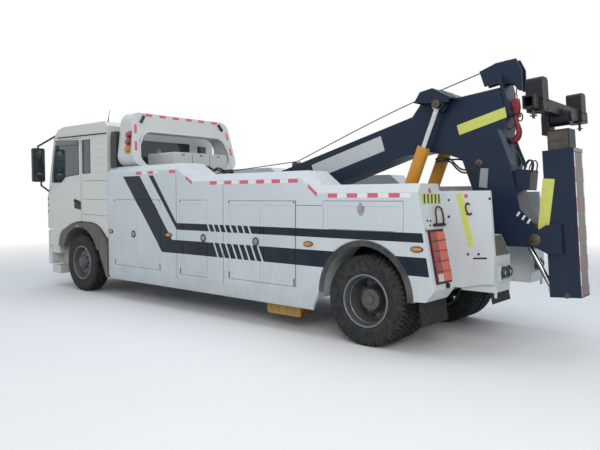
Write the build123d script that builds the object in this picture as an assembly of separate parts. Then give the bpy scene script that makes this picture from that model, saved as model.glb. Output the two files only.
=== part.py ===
from build123d import *
import math
import os

# A heavy recovery truck: a forward-control two-axle chassis that carries a row of
# tool lockers and one boom, whose bent rear arm holds a folded underlift.
# Millimetres. +X points to the front, +Y to the left, +Z up, and the ground is at
# z = 0. While modelling, x = 0 is the rear axle; what is written out is moved
# along X so that the middle of the overall length is at x = 0.

os.makedirs("parts", exist_ok=True)

# Layout
wheelbase = 6450.0
front_overhang = 1270.0
rear_reach = 2075.0
frame_shift = (rear_reach - wheelbase - front_overhang) / 2
body_half = 1250.0
running_gap = 6.0
seat_gap = 0.3
slide_gap = 0.8

# Wheels
tyre_radius = 535.0
tyre_width = 290.0
rim_radius = 300.0
rim_wall = 14.0
twin_gap = 40.0
front_track_out = 1200.0
rear_track_out = 1225.0
kingpin_y = 860.0
hub_radius = 135.0
spindle_radius = 38.0
wheel_sides = 44
hand_holes = 10
hand_hole_radius = 24.0

# Chassis ladder
rail_out = 425.0
rail_flange = 80.0
rail_web = 10.0
rail_low = 700.0
rail_high = 1000.0
rail_rear = -880.0
rail_front = 7250.0
cross_low = 760.0
cross_high = 940.0
cross_thick = 90.0
cab_post_x = 5600.0
cab_floor = 1400.0
cross_places = (-830.0, 700.0, 1900.0, 3100.0, 4200.0, 4850.0, 7150.0)

# Subframe and deck
beam_in = 390.0
beam_out = 470.0
beam_high = 1160.0
deck_low = 1200.0
deck_thick = 40.0

# Locker bodies
wall = 40.0
side_in = 760.0
body_front = 5420.0
skirt_low = 300.0
skirt_bend = 395.0
skirt_tuck = 60.0
cap = 105.0
arch_radius = 650.0
arch_high = 585.0
locker_floor = 520.0
floor_thick = 30.0
level_high = 2170.0
level_mid = 1977.0
level_low = 1787.0
slope_front = (3430.0, 3090.0)
slope_rear = (930.0, 680.0)
rear_top = (-685.0, 1892.0)
rear_low = (-915.0, 745.0)
leaf_gap = 6.0
hinge_proud = 6.0
rebate = 25.0
lip_thick = 20.0

# Boom. Its pivot, and the pins that the cylinders hang on
pivot = (3600.0, 1600.0)
boom_slope = 15.0
boom_half = 170.0
plate = 16.0
rod_eye = (-430.0, 2860.0)
barrel_eye = (240.0, 1140.0)
cylinder_y = 290.0
fold_hinge = (-1580.0, 1262.0)
fold_barrel_eye = (-900.0, 2140.0)
fold_rod_eye = (-1720.0, 700.0)


def rotated(dx, dz, degrees):
    """A vector in the XZ plane turned from +X towards +Z."""
    a = math.radians(degrees)
    return (dx * math.cos(a) - dz * math.sin(a), dx * math.sin(a) + dz * math.cos(a))


def block(x0, x1, y0, y1, z0, z1):
    """A box given by its two corners."""
    box = Box(abs(x1 - x0), abs(y1 - y0), abs(z1 - z0))
    return Pos((x0 + x1) / 2, (y0 + y1) / 2, (z0 + z1) / 2) * box


def side_plane(y):
    """A plane parallel to XZ whose normal is -Y and whose drawing axes are +X and +Z."""
    return Plane(origin=(0, y, 0), x_dir=(1, 0, 0), z_dir=(0, -1, 0))


def slab(points, y0, y1):
    """A side outline of (x, z) points, made solid from y0 to y1."""
    face = side_plane(max(y0, y1)) * make_face(Polyline(*points, close=True))
    return extrude(face, amount=abs(y1 - y0))


def face_slab(face, y0, y1):
    """A face drawn in x and z, made solid from y0 to y1."""
    return extrude(side_plane(max(y0, y1)) * face, amount=abs(y1 - y0))


def rod_y(x, z, radius, y0, y1):
    """A round bar along Y."""
    return Pos(x, (y0 + y1) / 2, z) * Rot(90, 0, 0) * Cylinder(radius, abs(y1 - y0))


def rod_x(y, z, radius, x0, x1):
    """A round bar along X."""
    return Pos((x0 + x1) / 2, y, z) * Rot(0, 90, 0) * Cylinder(radius, abs(x1 - x0))


def rod_z(x, y, radius, z0, z1):
    """A round bar along Z."""
    return Pos(x, y, (z0 + z1) / 2) * Cylinder(radius, abs(z1 - z0))


def bar_between(start, end, radius, y):
    """A round bar in the plane at y between two (x, z) points."""
    a = Vector(start[0], y, start[1])
    b = Vector(end[0], y, end[1])
    return Solid.make_cylinder(radius, (b - a).length, Plane(origin=a, z_dir=(b - a)))


def point_along(start, end, distance):
    """The (x, z) point that lies a distance from start towards end."""
    length = math.hypot(end[0] - start[0], end[1] - start[1])
    share = distance / length
    return (start[0] + share * (end[0] - start[0]), start[1] + share * (end[1] - start[1]))


def mirrored(shape):
    """The same shape on the right side."""
    return mirror(shape, about=Plane.XZ)


def both(shape):
    """The shape and its mirror image."""
    return Compound(children=[*solids_of(shape), *solids_of(mirrored(shape))])


def solids_of(shape):
    """The solids in a shape, as a list."""
    return list(shape.solids())


def write(name, shape):
    """Move a finished node to the model's own frame and write it."""
    parts = [solid.moved(Location((frame_shift, 0, 0))) for solid in solids_of(shape)]
    result = parts[0] if len(parts) == 1 else Compound(children=parts)
    export_step(result, f"parts/{name}.step")


# Chassis

def chassis_frame():
    channel = block(rail_rear, rail_front, rail_out - rail_flange, rail_out, rail_low, rail_high)
    hollow = block(
        rail_rear - 1, rail_front + 1,
        rail_out - rail_flange - 1, rail_out - rail_web,
        rail_low + rail_web, rail_high - rail_web,
    )
    rails = channel - hollow
    rails = rails + mirrored(rails)
    for x in cross_places:
        half = cross_thick / 2
        reach = rail_out - rail_web
        rails = rails + block(x - half, x + half, -reach, reach, cross_low, cross_high)
    post = block(cab_post_x - 40, cab_post_x + 40, rail_out - rail_flange, rail_out, rail_high - 1,
                 cab_floor - seat_gap)
    return rails + post + mirrored(post)


engine_rear = 5700.0
engine_front = 7000.0
engine_half = 330.0
engine_low = 640.0
engine_high = 1330.0
shaft_z = 800.0


def engine_and_gearbox():
    engine = block(engine_rear, engine_front, -engine_half, engine_half, engine_low, engine_high)
    gearbox = rod_x(0, shaft_z, 190, engine_rear - 700, engine_rear + 1)
    block_with_box = engine + gearbox
    for x in (engine_rear + 250, engine_front - 250):
        foot = block(x - 50, x + 50, engine_half - 1, rail_out - rail_web, 750, 850)
        block_with_box = block_with_box + foot + mirrored(foot)
    return block_with_box


spring_half = 40.0
spring_thick = 70.0
front_spring_y = 385.0
rear_spring_y = 500.0


def leaf_spring(x, y, z, reach, hanger_top):
    """A stack of leaves over an axle, held by a hanger at each end."""
    top = z + spring_thick
    leaves = slab(
        [(x - reach, top), (x + reach, top), (x + reach, top - 25), (x + 300, z - 25),
         (x - 300, z - 25), (x - reach, top - 25)],
        y - spring_half, y + spring_half,
    )
    for side in (-1, 1):
        end = x + side * reach
        leaves = leaves + block(end - 35, end + 35, y - spring_half, y + spring_half, top - 25, hanger_top)
    return leaves


eye_radius = 50.0
eye_half = 50.0
kingpin_radius = 26.0
fork_thick = 40.0
fork_gap = 6.0
beam_half = 50.0
beam_drop = 110.0


def front_axle():
    low = tyre_radius - beam_drop - beam_half
    beam = block(wheelbase - beam_half, wheelbase + beam_half, -650, 650, low, low + 2 * beam_half)
    for side in (-1, 1):
        riser = block(wheelbase - 45, wheelbase + 45, side * 560, side * 650,
                      low, tyre_radius + eye_half)
        link = block(wheelbase - 40, wheelbase + 40, side * 640, side * kingpin_y,
                     tyre_radius - eye_half, tyre_radius + eye_half)
        eye = rod_z(wheelbase, side * kingpin_y, eye_radius, tyre_radius - eye_half, tyre_radius + eye_half)
        hole = rod_z(wheelbase, side * kingpin_y, kingpin_radius, 0, 1000)
        beam = beam + riser + link + eye - hole
    seat = block(wheelbase - 60, wheelbase + 60, front_spring_y - spring_half,
                 front_spring_y + spring_half, low + beam_half, tyre_radius + 10)
    spring = leaf_spring(wheelbase, front_spring_y, tyre_radius + 25, 700, rail_low) + seat
    return beam + spring + mirrored(spring)


axle_tube_end = 560.0
axle_end = 740.0
axle_end_radius = 45.0
bowl_radius = 215.0
bowl_half = 60.0
bowl_nose = 330.0
prop_radius = 38.0
prop_rear = (250.0, 560.0)
prop_front = (engine_rear - 700.0 - 4.0, 700.0)
joint_radius = 70.0


def drive_bowl():
    """The final drive's housing: a short drum across the truck's length with a cone at each face."""
    bowl = rod_x(0, tyre_radius, bowl_radius, -bowl_half, bowl_half)
    nose = Pos(bowl_nose / 2 + bowl_half / 2, 0, tyre_radius) * Rot(0, 90, 0) * Cone(
        bowl_radius, joint_radius, bowl_nose - bowl_half)
    cover = Pos(-bowl_half * 1.5, 0, tyre_radius) * Rot(0, -90, 0) * Cone(
        bowl_radius, bowl_radius * 0.6, bowl_half)
    return bowl + nose + cover


def propeller_shaft():
    """The shaft from the gearbox to the rear axle, with a joint's yoke at each end."""
    shaft = bar_between(prop_rear, prop_front, prop_radius, 0)
    yoke = bar_between(prop_front, point_along(prop_front, prop_rear, 90), joint_radius - 10, 0)
    return shaft + yoke


def rear_axle():
    housing = rod_y(0, tyre_radius, 75, -axle_tube_end, axle_tube_end)
    housing = housing + rod_y(0, tyre_radius, axle_end_radius, -axle_end, axle_end)
    bowl = drive_bowl() + propeller_shaft()
    spring = leaf_spring(0, rear_spring_y, tyre_radius + 90, 750, rail_low + 40)
    seat = block(-60, 60, rear_spring_y - spring_half, rear_spring_y + spring_half,
                 tyre_radius, tyre_radius + 70)
    for side in (-1, 1):
        end = side * 750
        seat = seat + block(end - 35, end + 35, rail_out, rear_spring_y + spring_half,
                            rail_low + 20, rail_low + 160)
    return housing + bowl + spring + seat + mirrored(spring + seat)


# Wheels

def faceted(profile, sides):
    """A closed outline of (radius, y) points turned about the Y axis in flat steps.

    A radius is counted to the middle of a flat.
    """

    def ring(radius, y):
        reach = radius / math.cos(math.pi / sides)
        turns = [2 * math.pi * (k + 0.5) / sides for k in range(sides)]
        return [(reach * math.sin(t), y, -reach * math.cos(t)) for t in turns]

    faces = []
    for (r0, y0), (r1, y1) in zip(profile, profile[1:] + profile[:1]):
        if r0 == 0 and r1 == 0:
            continue
        if y0 == y1:
            wide = Wire.make_polygon(ring(max(r0, r1), y0))
            hole = [Wire.make_polygon(ring(min(r0, r1), y0))] if min(r0, r1) > 0 else []
            faces.append(Face(wide, hole))
            continue
        first = ring(r0, y0)
        second = ring(r1, y1)
        for k in range(sides):
            n = (k + 1) % sides
            faces.append(Face(Wire.make_polygon([first[k], first[n], second[n], second[k]])))
    return Solid(Shell(faces))


def tyre_profile(y_out, width):
    """Section of one tyre as (radius, y) points."""
    y_in = y_out - width
    shoulder = 32.0
    tread = tyre_radius
    bead = rim_radius
    wide = 90.0
    lip = 25.0
    return [
        (bead, y_in + lip), (bead + wide, y_in), (tread - wide, y_in), (tread, y_in + shoulder),
        (tread, y_out - shoulder), (tread - wide, y_out), (bead + wide, y_out), (bead, y_out - lip),
    ]


rim_lip = 12.0
lip_width = 11.0
rim_taper = 22.0


def rim_profile(y_out, y_in, disc_out, disc_in, hub):
    """Section of a disc wheel as (radius, y) points. The hub's own points close it at the axis."""
    r = rim_radius - seat_gap
    w = rim_wall
    return [
        (r + rim_lip, y_out - lip_width), (r + rim_lip, y_out), (r - w, y_out), (r - w - 12, y_out - 40),
        (r - w - rim_taper, disc_out), *hub, (r - w - rim_taper, disc_in), (r - w, y_in),
        (r + rim_lip, y_in), (r + rim_lip, y_in + lip_width), (r, y_in + 14), (r, y_out - 14),
    ]


def with_hand_holes(rim, ring_radius, y0, y1):
    """A rim with its ring of eight-sided hand holes cut through the disc."""
    for k in range(hand_holes):
        turn = 2 * math.pi * (k + 0.5) / hand_holes
        centre = (ring_radius * math.sin(turn), y1, ring_radius * math.cos(turn))
        outline = Plane(origin=centre, z_dir=(0, -1, 0)) * RegularPolygon(hand_hole_radius, 8)
        rim = rim - extrude(outline, amount=y1 - y0)
    return rim


def placed_wheel(shape, x):
    return Pos(x, 0, tyre_radius) * shape


front_hub_out = front_track_out - 30.0
front_disc_y = front_track_out - 105.0
hub_face_in = kingpin_y + 90.0
rim_inset = 10.0
disc_thick = 18.0


def front_tyre():
    return placed_wheel(faceted(tyre_profile(front_track_out, tyre_width), wheel_sides), wheelbase)


def front_rim():
    disc_out = front_disc_y + disc_thick
    hub = [
        (hub_radius, disc_out + 20), (hub_radius, front_hub_out - 20), (hub_radius - 20, front_hub_out),
        (0, front_hub_out), (0, hub_face_in), (hub_radius, hub_face_in), (hub_radius + 20, front_disc_y),
    ]
    profile = rim_profile(front_track_out - rim_inset, front_track_out - tyre_width + rim_inset,
                          disc_out, front_disc_y - 12, hub)
    rim = with_hand_holes(faceted(profile, wheel_sides), (rim_radius + hub_radius) / 2 + 4,
                          front_disc_y - 40, disc_out + 40)
    return placed_wheel(rim, wheelbase)


twin_step = tyre_width + twin_gap
rear_disc_y = rear_track_out - tyre_width - twin_gap / 2 - 10.0
rear_disc_half = 24.0
rear_hub_in = 600.0


def rear_tyres():
    outer = faceted(tyre_profile(rear_track_out, tyre_width), wheel_sides)
    inner = faceted(tyre_profile(rear_track_out - twin_step, tyre_width), wheel_sides)
    return Compound(children=[placed_wheel(outer, 0), placed_wheel(inner, 0)])


def rear_rims():
    disc_out = rear_disc_y + rear_disc_half
    disc_in = rear_disc_y - rear_disc_half
    hub_out = rear_disc_y + 190.0
    hub = [
        (hub_radius + 40, disc_out), (hub_radius, disc_out + 36), (hub_radius - 10, hub_out), (0, hub_out),
        (0, rear_hub_in), (hub_radius + 30, rear_hub_in), (hub_radius + 60, disc_in),
    ]
    profile = rim_profile(rear_track_out - rim_inset, rear_track_out - twin_step - tyre_width + rim_inset,
                          disc_out, disc_in, hub)
    rim = with_hand_holes(faceted(profile, wheel_sides), rim_radius - rim_wall - rim_taper - 34,
                          disc_in - 40, disc_out + 1)
    return placed_wheel(rim, 0)


def knuckle():
    """The steering knuckle, with its kingpin, fork and stub axle, on the left."""
    reach = eye_half + fork_gap
    pin = rod_z(wheelbase, kingpin_y, kingpin_radius - seat_gap, tyre_radius - reach, tyre_radius + reach)
    solid = pin
    for low in (tyre_radius - reach - fork_thick, tyre_radius + reach):
        solid = solid + rod_z(wheelbase, kingpin_y, eye_radius, low, low + fork_thick)
        solid = solid + block(wheelbase - 40, wheelbase + 40, kingpin_y, kingpin_y + eye_radius + 30,
                              low, low + fork_thick)
    solid = solid + block(wheelbase - 40, wheelbase + 40, kingpin_y + eye_radius + fork_gap,
                          kingpin_y + eye_radius + 30, tyre_radius - reach, tyre_radius + reach)
    solid = solid + rod_y(wheelbase, tyre_radius, spindle_radius, kingpin_y + eye_radius + 20,
                          front_hub_out - 31)
    arm = block(wheelbase - 210, wheelbase, kingpin_y - 20, kingpin_y + 20,
                tyre_radius + reach, tyre_radius + reach + 30)
    return solid + arm


# Locker bodies

lockers = (
    # name, x front, x rear, z low, z high of the door opening, leaves
    ("front", 5227.0, 3900.0, 590.0, 1713.0, 2),
    ("middle", 3410.0, 2770.0, 570.0, 1708.0, 1),
    ("rear", 2310.0, 1050.0, 600.0, 1700.0, 2),
)
cavities = (
    # x front, x rear, z low, z high of the hollow behind the doors
    (5380.0, 3630.0, 520.0, 2110.0),
    (3590.0, 2530.0, 520.0, 1925.0),
    (2490.0, 880.0, 520.0, 1925.0),
    (800.0, -640.0, 1290.0, 1740.0),
)
flap_front = 600.0
flap_rear = -530.0
flap_low = 1354.0
flap_high = 1700.0


def side_outline():
    """The locker body seen from the side, with the wheel arch left in."""
    return [
        (body_front, skirt_low), (body_front, level_high + cap),
        (slope_front[0], level_high + cap), (slope_front[1], level_mid + cap),
        (slope_rear[0], level_mid + cap), (slope_rear[1], level_low + cap),
        rear_top, rear_low, (-808, 609), (-656, 600), (-656, arch_high),
        (630, arch_high), (630, 650), (753, skirt_bend), (790, skirt_low),
    ]


recess_margin = 60.0
recess_depth = 6.0
strap_long = 28.0
strap_half = 44.0
knuckle_radius = hinge_proud - 0.6
hinge_inset = 54.0
latch_radius = 54.0
latch_proud = 7.0
latches = {
    # name of the leaf: x and z of its round turning latch
    "locker_door_front_fore": (4644.0, 1139.0),
    "locker_door_middle": (2851.0, 1149.0),
    "locker_door_rear_fore": (1759.0, 1146.0),
}


def door_leaf(x_front, x_rear, z_low, z_high):
    """A flush leaf in the outer wall, with a shallow recess pressed into its face."""
    leaf = block(x_rear + leaf_gap, x_front - leaf_gap, body_half - wall, body_half,
                 z_low + leaf_gap, z_high - leaf_gap)
    margin = recess_margin
    recess = block(x_rear + margin, x_front - margin, body_half - recess_depth, body_half + 1,
                   z_low + margin, z_high - margin)
    return leaf - recess


def side_hinges(axis_x, inward, z_low, z_high):
    """The two hinge straps of a leaf, each with its knuckle round the leaf's axis."""
    y = body_half + hinge_proud
    hinges = []
    for z in (z_low + hinge_inset, z_high - hinge_inset):
        ends = (z - strap_half, z + strap_half)
        strap = block(axis_x, axis_x + inward * strap_long, body_half - 1, y, *ends)
        hinges.append(strap + rod_z(axis_x, y, knuckle_radius, *ends))
    return hinges[0] + hinges[1]


def low_hinges(axis_z, x_front, x_rear):
    """The two hinge straps along the lower edge of the flap."""
    y = body_half + hinge_proud
    hinges = []
    for x in (x_rear + hinge_inset, x_front - hinge_inset):
        ends = (x - strap_half, x + strap_half)
        strap = block(*ends, body_half - 1, y, axis_z, axis_z + strap_long)
        hinges.append(strap + rod_x(y, axis_z, knuckle_radius, *ends))
    return hinges[0] + hinges[1]


def with_latch(name, leaf):
    """A leaf with its round latch, where it has one."""
    if name not in latches:
        return leaf
    x, z = latches[name]
    return leaf + rod_y(x, z, latch_radius, body_half - recess_depth - 1, body_half + latch_proud)


def locker_body():
    body = slab(side_outline(), side_in, body_half)
    body = body - rod_y(0, arch_high, arch_radius, side_in - 1, body_half + 1)
    top = [e for e in body.edges().filter_by_position(Axis.Y, body_half - 1, body_half + 1)
           if e.center().Z > level_low and abs(e.tangent_at(0.5).X) > 0.5]
    body = chamfer(top, cap - 5)
    front_part = block(700, body_front + 1, side_in - 1, body_half - wall, 0, locker_floor - floor_thick)
    body = body - front_part
    tuck = extrude(
        Plane(origin=(0, 0, 0), x_dir=(0, 1, 0), z_dir=(1, 0, 0)) * make_face(Polyline(
            (body_half - skirt_tuck, skirt_low - 1), (body_half + 1, skirt_low - 1),
            (body_half + 1, skirt_bend), (body_half, skirt_bend), close=True)),
        amount=body_front + 1,
    )
    body = body - tuck
    lip = body_half - wall - lip_thick
    for x_front, x_rear, z_low, z_high in cavities:
        body = body - block(x_rear, x_front, side_in + wall, lip, z_low, z_high)
    openings = [row[1:5] for row in lockers] + [(flap_front, flap_rear, flap_low, flap_high)]
    for x_front, x_rear, z_low, z_high in openings:
        body = body - block(x_rear, x_front, body_half - wall - seat_gap, body_half + 1, z_low, z_high)
        body = body - block(x_rear + rebate, x_front - rebate, lip - 1, body_half, z_low + rebate,
                            z_high - rebate)
    return body


tail_thick = 40.0
tail_rear = -1355.0
step_in = 330.0
step_wall = 20.0
step_front = -960.0
step_high = 1320.0
step_low = 705.0


socket_proud = 22.0
socket_rim = 16.0
socket_across = (350.0, 640.0)
socket_heights = (825.0, 992.0)


def tail_box():
    """What stands behind the lamp panel of a side: a plate along the truck and a step box."""
    wing = slab([(-600, 1810), (tail_rear + 60, 1810), (tail_rear, step_high - 200), (tail_rear, 800),
                 (-1240, 795), (-975, 735), (-800, 730), (-600, 1300)],
                side_in - tail_thick, side_in)
    outline = [(tail_rear, step_low), (tail_rear, 1100), (-1250, step_high), (step_front, step_high),
               (step_front, step_low)]
    step = slab(outline, step_in, side_in - tail_thick)
    inside = slab([(tail_rear + step_wall, step_low - 1), (tail_rear + step_wall, 1092),
                   (-1258, step_high - step_wall), (step_front + 1, step_high - step_wall),
                   (step_front + 1, step_low - 1)],
                  step_in + step_wall, side_in - tail_thick - 1)
    socket = block(tail_rear - socket_proud, tail_rear + 1, *socket_across, *socket_heights)
    inner = (socket_across[0] + socket_rim, socket_across[1] - socket_rim)
    inner_heights = (socket_heights[0] + socket_rim, socket_heights[1] - socket_rim)
    hole = block(tail_rear - socket_proud - 1, tail_rear - 2, *inner, *inner_heights)
    return wing + (step - inside) + (socket - hole)


def locker_leaves():
    """Each leaf of a left locker door, by name."""
    half_gap = leaf_gap / 2
    result = {}
    for name, x_front, x_rear, z_low, z_high, leaves in lockers:
        middle = (x_front + x_rear) / 2
        fore_rear = x_rear if leaves == 1 else middle - half_gap
        fore_name = f"locker_door_{name}" if leaves == 1 else f"locker_door_{name}_fore"
        fore = door_leaf(x_front, fore_rear, z_low, z_high)
        fore = fore + side_hinges(x_front - half_gap, -1, z_low, z_high)
        result[fore_name] = with_latch(fore_name, fore)
        if leaves == 2:
            aft = door_leaf(middle + half_gap, x_rear, z_low, z_high)
            result[f"locker_door_{name}_aft"] = aft + side_hinges(x_rear + half_gap, 1, z_low, z_high)
    flap = door_leaf(flap_front, flap_rear, flap_low, flap_high)
    result["wheel_locker_flap"] = flap + low_hinges(flap_low + half_gap, flap_front, flap_rear)
    return result


lip_in = 590.0
lip_out = 662.0
lip_proud = 15.0
ridge = 6.0


def arch_lips():
    """The ribbed rubber lip round the rear wheel arch of each side."""
    y0 = body_half
    y1 = y0 + lip_proud
    top = y1 + ridge
    section = [(lip_in, y0), (lip_in, y1), (lip_in + 14, y1), (lip_in + 18, top), (lip_in + 28, top),
               (lip_in + 32, y1), (lip_out - 26, y1), (lip_out - 22, top), (lip_out - 12, top), (lip_out, y0)]
    ring = Pos(0, 0, arch_high) * faceted(section, wheel_sides)
    under = block(-2 * lip_out, 2 * lip_out, y0 - 1, top + 1, arch_high - 2 * lip_out, arch_high + 1)
    return both(ring - under)


# Deck, subframe, headboard

well_front = 3900.0
well_rear = 3300.0
well_half = 300.0
seat_well_front = 620.0
seat_well_rear = -330.0
seat_well_half = 400.0
deck_rear = -595.0


def deck():
    sheet = block(deck_rear, body_front - 40, -side_in + seat_gap, side_in - seat_gap,
                  deck_low, deck_low + deck_thick)
    sheet = sheet - block(well_rear, well_front, -well_half, well_half, 0, 3000)
    sheet = sheet - block(seat_well_rear, seat_well_front, -seat_well_half, seat_well_half, 0, 3000)
    return sheet


tower_in = boom_half + 8.0
tower_thick = 30.0
pivot_pin = 55.0
beam_front = 5300.0
beam_rear = -800.0
bearer_places = (1300.0, 2500.0, 4400.0, 5200.0)
barrel_radius = 82.0
barrel_bore = 66.0
lug_thick = 22.0
cylinder_pin = 32.0
eye_width = 90.0
eye_side_gap = 0.5


def subframe():
    side = block(beam_rear, beam_front, beam_in, beam_out, rail_high, beam_high)
    frame = side + mirrored(side)
    for x in (-735.0, *bearer_places):
        frame = frame + block(x - 60, x + 60, -beam_in - 1, beam_in + 1, rail_high, beam_high)
    for x in bearer_places:
        frame = frame + block(x - 40, x + 40, -side_in, side_in, beam_high - 1, deck_low)
    px, pz = pivot
    frame = frame + block(px - 300, px + 300, -beam_in - 1, beam_in + 1, rail_high, beam_high)
    bx, bz = barrel_eye
    frame = frame + block(bx - 200, bx + 200, -beam_in - 1, beam_in + 1, rail_high, bz - 95)
    tower = slab([(px - 300, beam_high - 1), (px + 300, beam_high - 1), (px + 150, pz + 80),
                  (px + 60, pz + 130), (px - 60, pz + 130), (px - 150, pz + 80)],
                 tower_in, tower_in + tower_thick)
    frame = frame + tower + mirrored(tower)
    pin = rod_y(px, pz, pivot_pin, -tower_in - tower_thick - 10, tower_in + tower_thick + 10)
    frame = frame + pin
    for y in (cylinder_y - eye_width / 2 - 5 - lug_thick, cylinder_y + eye_width / 2 + 5):
        lug = slab([(bx - 90, bz - 96), (bx + 90, bz - 96), (bx + 45, bz + 30), (bx + 20, bz + 55),
                    (bx - 20, bz + 55), (bx - 45, bz + 30)], y, y + lug_thick)
        frame = frame + lug + mirrored(lug)
    seat_pin = rod_y(bx, bz, cylinder_pin, cylinder_y - eye_width / 2 - 5 - lug_thick - 4,
                     cylinder_y + eye_width / 2 + 5 + lug_thick - 2)
    return frame + seat_pin + mirrored(seat_pin)


portal_top = 3210.0
portal_beam_low = 2890.0
portal_front = 5220.0
portal_rear_top = 4930.0
portal_rear_foot = 4730.0
portal_half_top = 1080.0
portal_half_foot = 1195.0
portal_leg = 150.0
portal_corner = 190.0
portal_inner_corner = 240.0


def portal_outline(half_top, half_foot, top, foot, corner):
    """An arch outline in Y and Z whose legs splay, with its top corners rounded."""
    with BuildSketch(Plane(origin=(0, 0, 0), x_dir=(0, 1, 0), z_dir=(1, 0, 0))) as sketch:
        with BuildLine():
            Polyline((-half_foot, foot), (-half_top, top), (half_top, top), (half_foot, foot), close=True)
        make_face()
        fillet(sketch.vertices().group_by(Axis.Z)[-1], corner)
    return sketch.sketch


def portal_half(z):
    """Half the headboard's outer width at a height."""
    share = (portal_top - z) / (portal_top - level_high - cap)
    return portal_half_top + share * (portal_half_foot - portal_half_top)


def headboard():
    foot = level_high + cap
    length = portal_front - portal_rear_foot
    outer = extrude(portal_outline(portal_half_top, portal_half_foot, portal_top, foot, portal_corner),
                    amount=length)
    inner_top = portal_half(portal_beam_low) - portal_leg
    inner_foot = portal_half_foot - portal_leg
    inner = extrude(portal_outline(inner_top, inner_foot, portal_beam_low, foot - 1, portal_inner_corner),
                    amount=length)
    side = slab([(portal_rear_foot, foot), (portal_rear_top, portal_top), (portal_front, portal_top),
                 (portal_front, foot)], -portal_half_foot - 1, portal_half_foot + 1)
    return Pos(portal_rear_foot, 0, 0) * (outer - inner) & side


beacon_x = 4905.0
beacon_heights = (2804.0, 2686.0, 2562.0)
beacon_radius = 48.0
beacon_long = 42.0
bracket_half = 58.0
bracket_thick = 12.0
bracket_over = 68.0


def beacons():
    """The plate on a headboard leg's outer side that carries three round lamps, on the left."""
    low = beacon_heights[-1] - bracket_over
    high = beacon_heights[0] + bracket_over
    near = seat_gap
    far = seat_gap + bracket_thick
    outline = Polyline((portal_half(low) + near, low), (portal_half(low) + far, low),
                       (portal_half(high) + far, high), (portal_half(high) + near, high), close=True)
    start = Plane(origin=(beacon_x - bracket_half, 0, 0), x_dir=(0, 1, 0), z_dir=(1, 0, 0))
    bracket = extrude(start * make_face(outline), amount=2 * bracket_half)
    for z in beacon_heights:
        y = portal_half(z) + far
        bracket = bracket + rod_y(beacon_x, z, beacon_radius, y - bracket_thick / 2, y + beacon_long)
    return bracket


box_front = 5150.0
box_rear = 4400.0
box_half = 600.0
box_top = 2530.0
box_wall = 25.0
box_low = deck_low + deck_thick


def equipment_box():
    """A white cabinet across the deck behind the headboard."""
    box = block(box_rear, box_front, -box_half, box_half, box_low, box_top)
    box = fillet(box.edges().filter_by(Axis.X).group_by(Axis.Z)[-1], 40)
    w = box_wall
    return box - block(box_rear + w, box_front - w, -box_half + w, box_half - w, box_low - 1, box_top - w)


drum_x = 3985.0
drum_z = 2050.0
drum_radius = 110.0
drum_flange = 175.0
drum_half = 200.0
drum_axle = 30.0
winch_cheek = 20.0


def winch_frame():
    cheek = slab([(drum_x - 170, box_low), (drum_x + 150, box_low), (drum_x + 150, drum_z + 190),
                  (drum_x - 130, drum_z + 190), (drum_x - 170, drum_z + 80)],
                 drum_half + 40, drum_half + 40 + winch_cheek)
    motor = rod_y(drum_x, drum_z, 95, drum_half + 40 + winch_cheek - 1, drum_half + 240)
    bar = block(drum_x + 60, drum_x + 140, -drum_half - 41, drum_half + 41, box_low, box_low + 300)
    axle = rod_y(drum_x, drum_z, drum_axle, -drum_half - 50, drum_half + 50)
    return cheek + mirrored(cheek) + motor + bar + axle


def winch_drum():
    barrel = rod_y(drum_x, drum_z, drum_radius, -drum_half, drum_half)
    flange_out = drum_half + 18
    for side in (-1, 1):
        barrel = barrel + rod_y(drum_x, drum_z, drum_flange, side * drum_half, side * flange_out)
    return barrel - rod_y(drum_x, drum_z, drum_axle + seat_gap, -flange_out - 1, flange_out + 1)


# Boom

def boom_point(d, n):
    """A point d along the boom from its pivot and n above its axis."""
    dx, dz = rotated(-d, 0, -boom_slope)
    nx, nz = rotated(0, n, -boom_slope)
    return (pivot[0] + dx + nx, pivot[1] + dz + nz)


head_length = 4940.0
head_high = 125.5
head_low = -215.0
boom_outline = [
    (3610.0, 1790.0), (1910.0, 2255.0), (3.0, 2765.0), (-213.0, 3038.0), (-382.0, 3068.0),
    (-611.0, 2941.0), boom_point(head_length, head_high), boom_point(head_length, head_low),
    (-1195.0, 2496.0), (-1306.0, 1980.0),
    (-1400.0, 1602.0), (-1595.0, 1401.0), (-1662.0, 1262.0), (-1640.0, 1205.0), (-1580.0, 1177.0),
    (-1077.0, 1172.0), (-827.0, 1824.0), (-685.0, 2195.0), (-500.0, 2259.0), (-220.0, 2311.0),
    (151.0, 2265.0), (1146.0, 1952.0), (3480.0, 1425.0), (3700.0, 1440.0), (3790.0, 1560.0),
    (3770.0, 1700.0),
]
boom_hollow = [
    (2900.0, 1966.0), (3.0, 2749.0), (-205.0, 2985.0), (-382.0, 3020.0), (-600.0, 2920.0),
    boom_point(head_length + 4, head_high - 26), boom_point(head_length - 14, head_low + 14),
    (-1178.0, 2496.0), (-1290.0, 1980.0), (-1388.0, 1590.0),
    (-1505.0, 1470.0), (-1505.0, 1190.0), (-1093.0, 1190.0), (-843.0, 1824.0), (-700.0, 2211.0),
    (-500.0, 2277.0), (-220.0, 2329.0), (151.0, 2283.0), (1146.0, 1970.0), (2900.0, 1574.0),
]
tube_low = -165.0
tube_high = 100.0
tube_half = 135.0
tube_wall = 14.0
tube_start = 2200.0
foot_boss = 85.0
hinge_pin = 40.0
fold_slot = 90.0
pod_out = 365.0
pod_thick = 18.0
mouth_start = head_length - 440.0
collar_start = head_length - 140.0
collar_end = head_length - 14.0
valve_half = 120.0
valve_outline = [
    (-1325.0, 1835.0), (-1478.0, 1815.0), (-1495.0, 2045.0), (-1340.0, 2065.0), (-1270.0, 2030.0),
]


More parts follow.
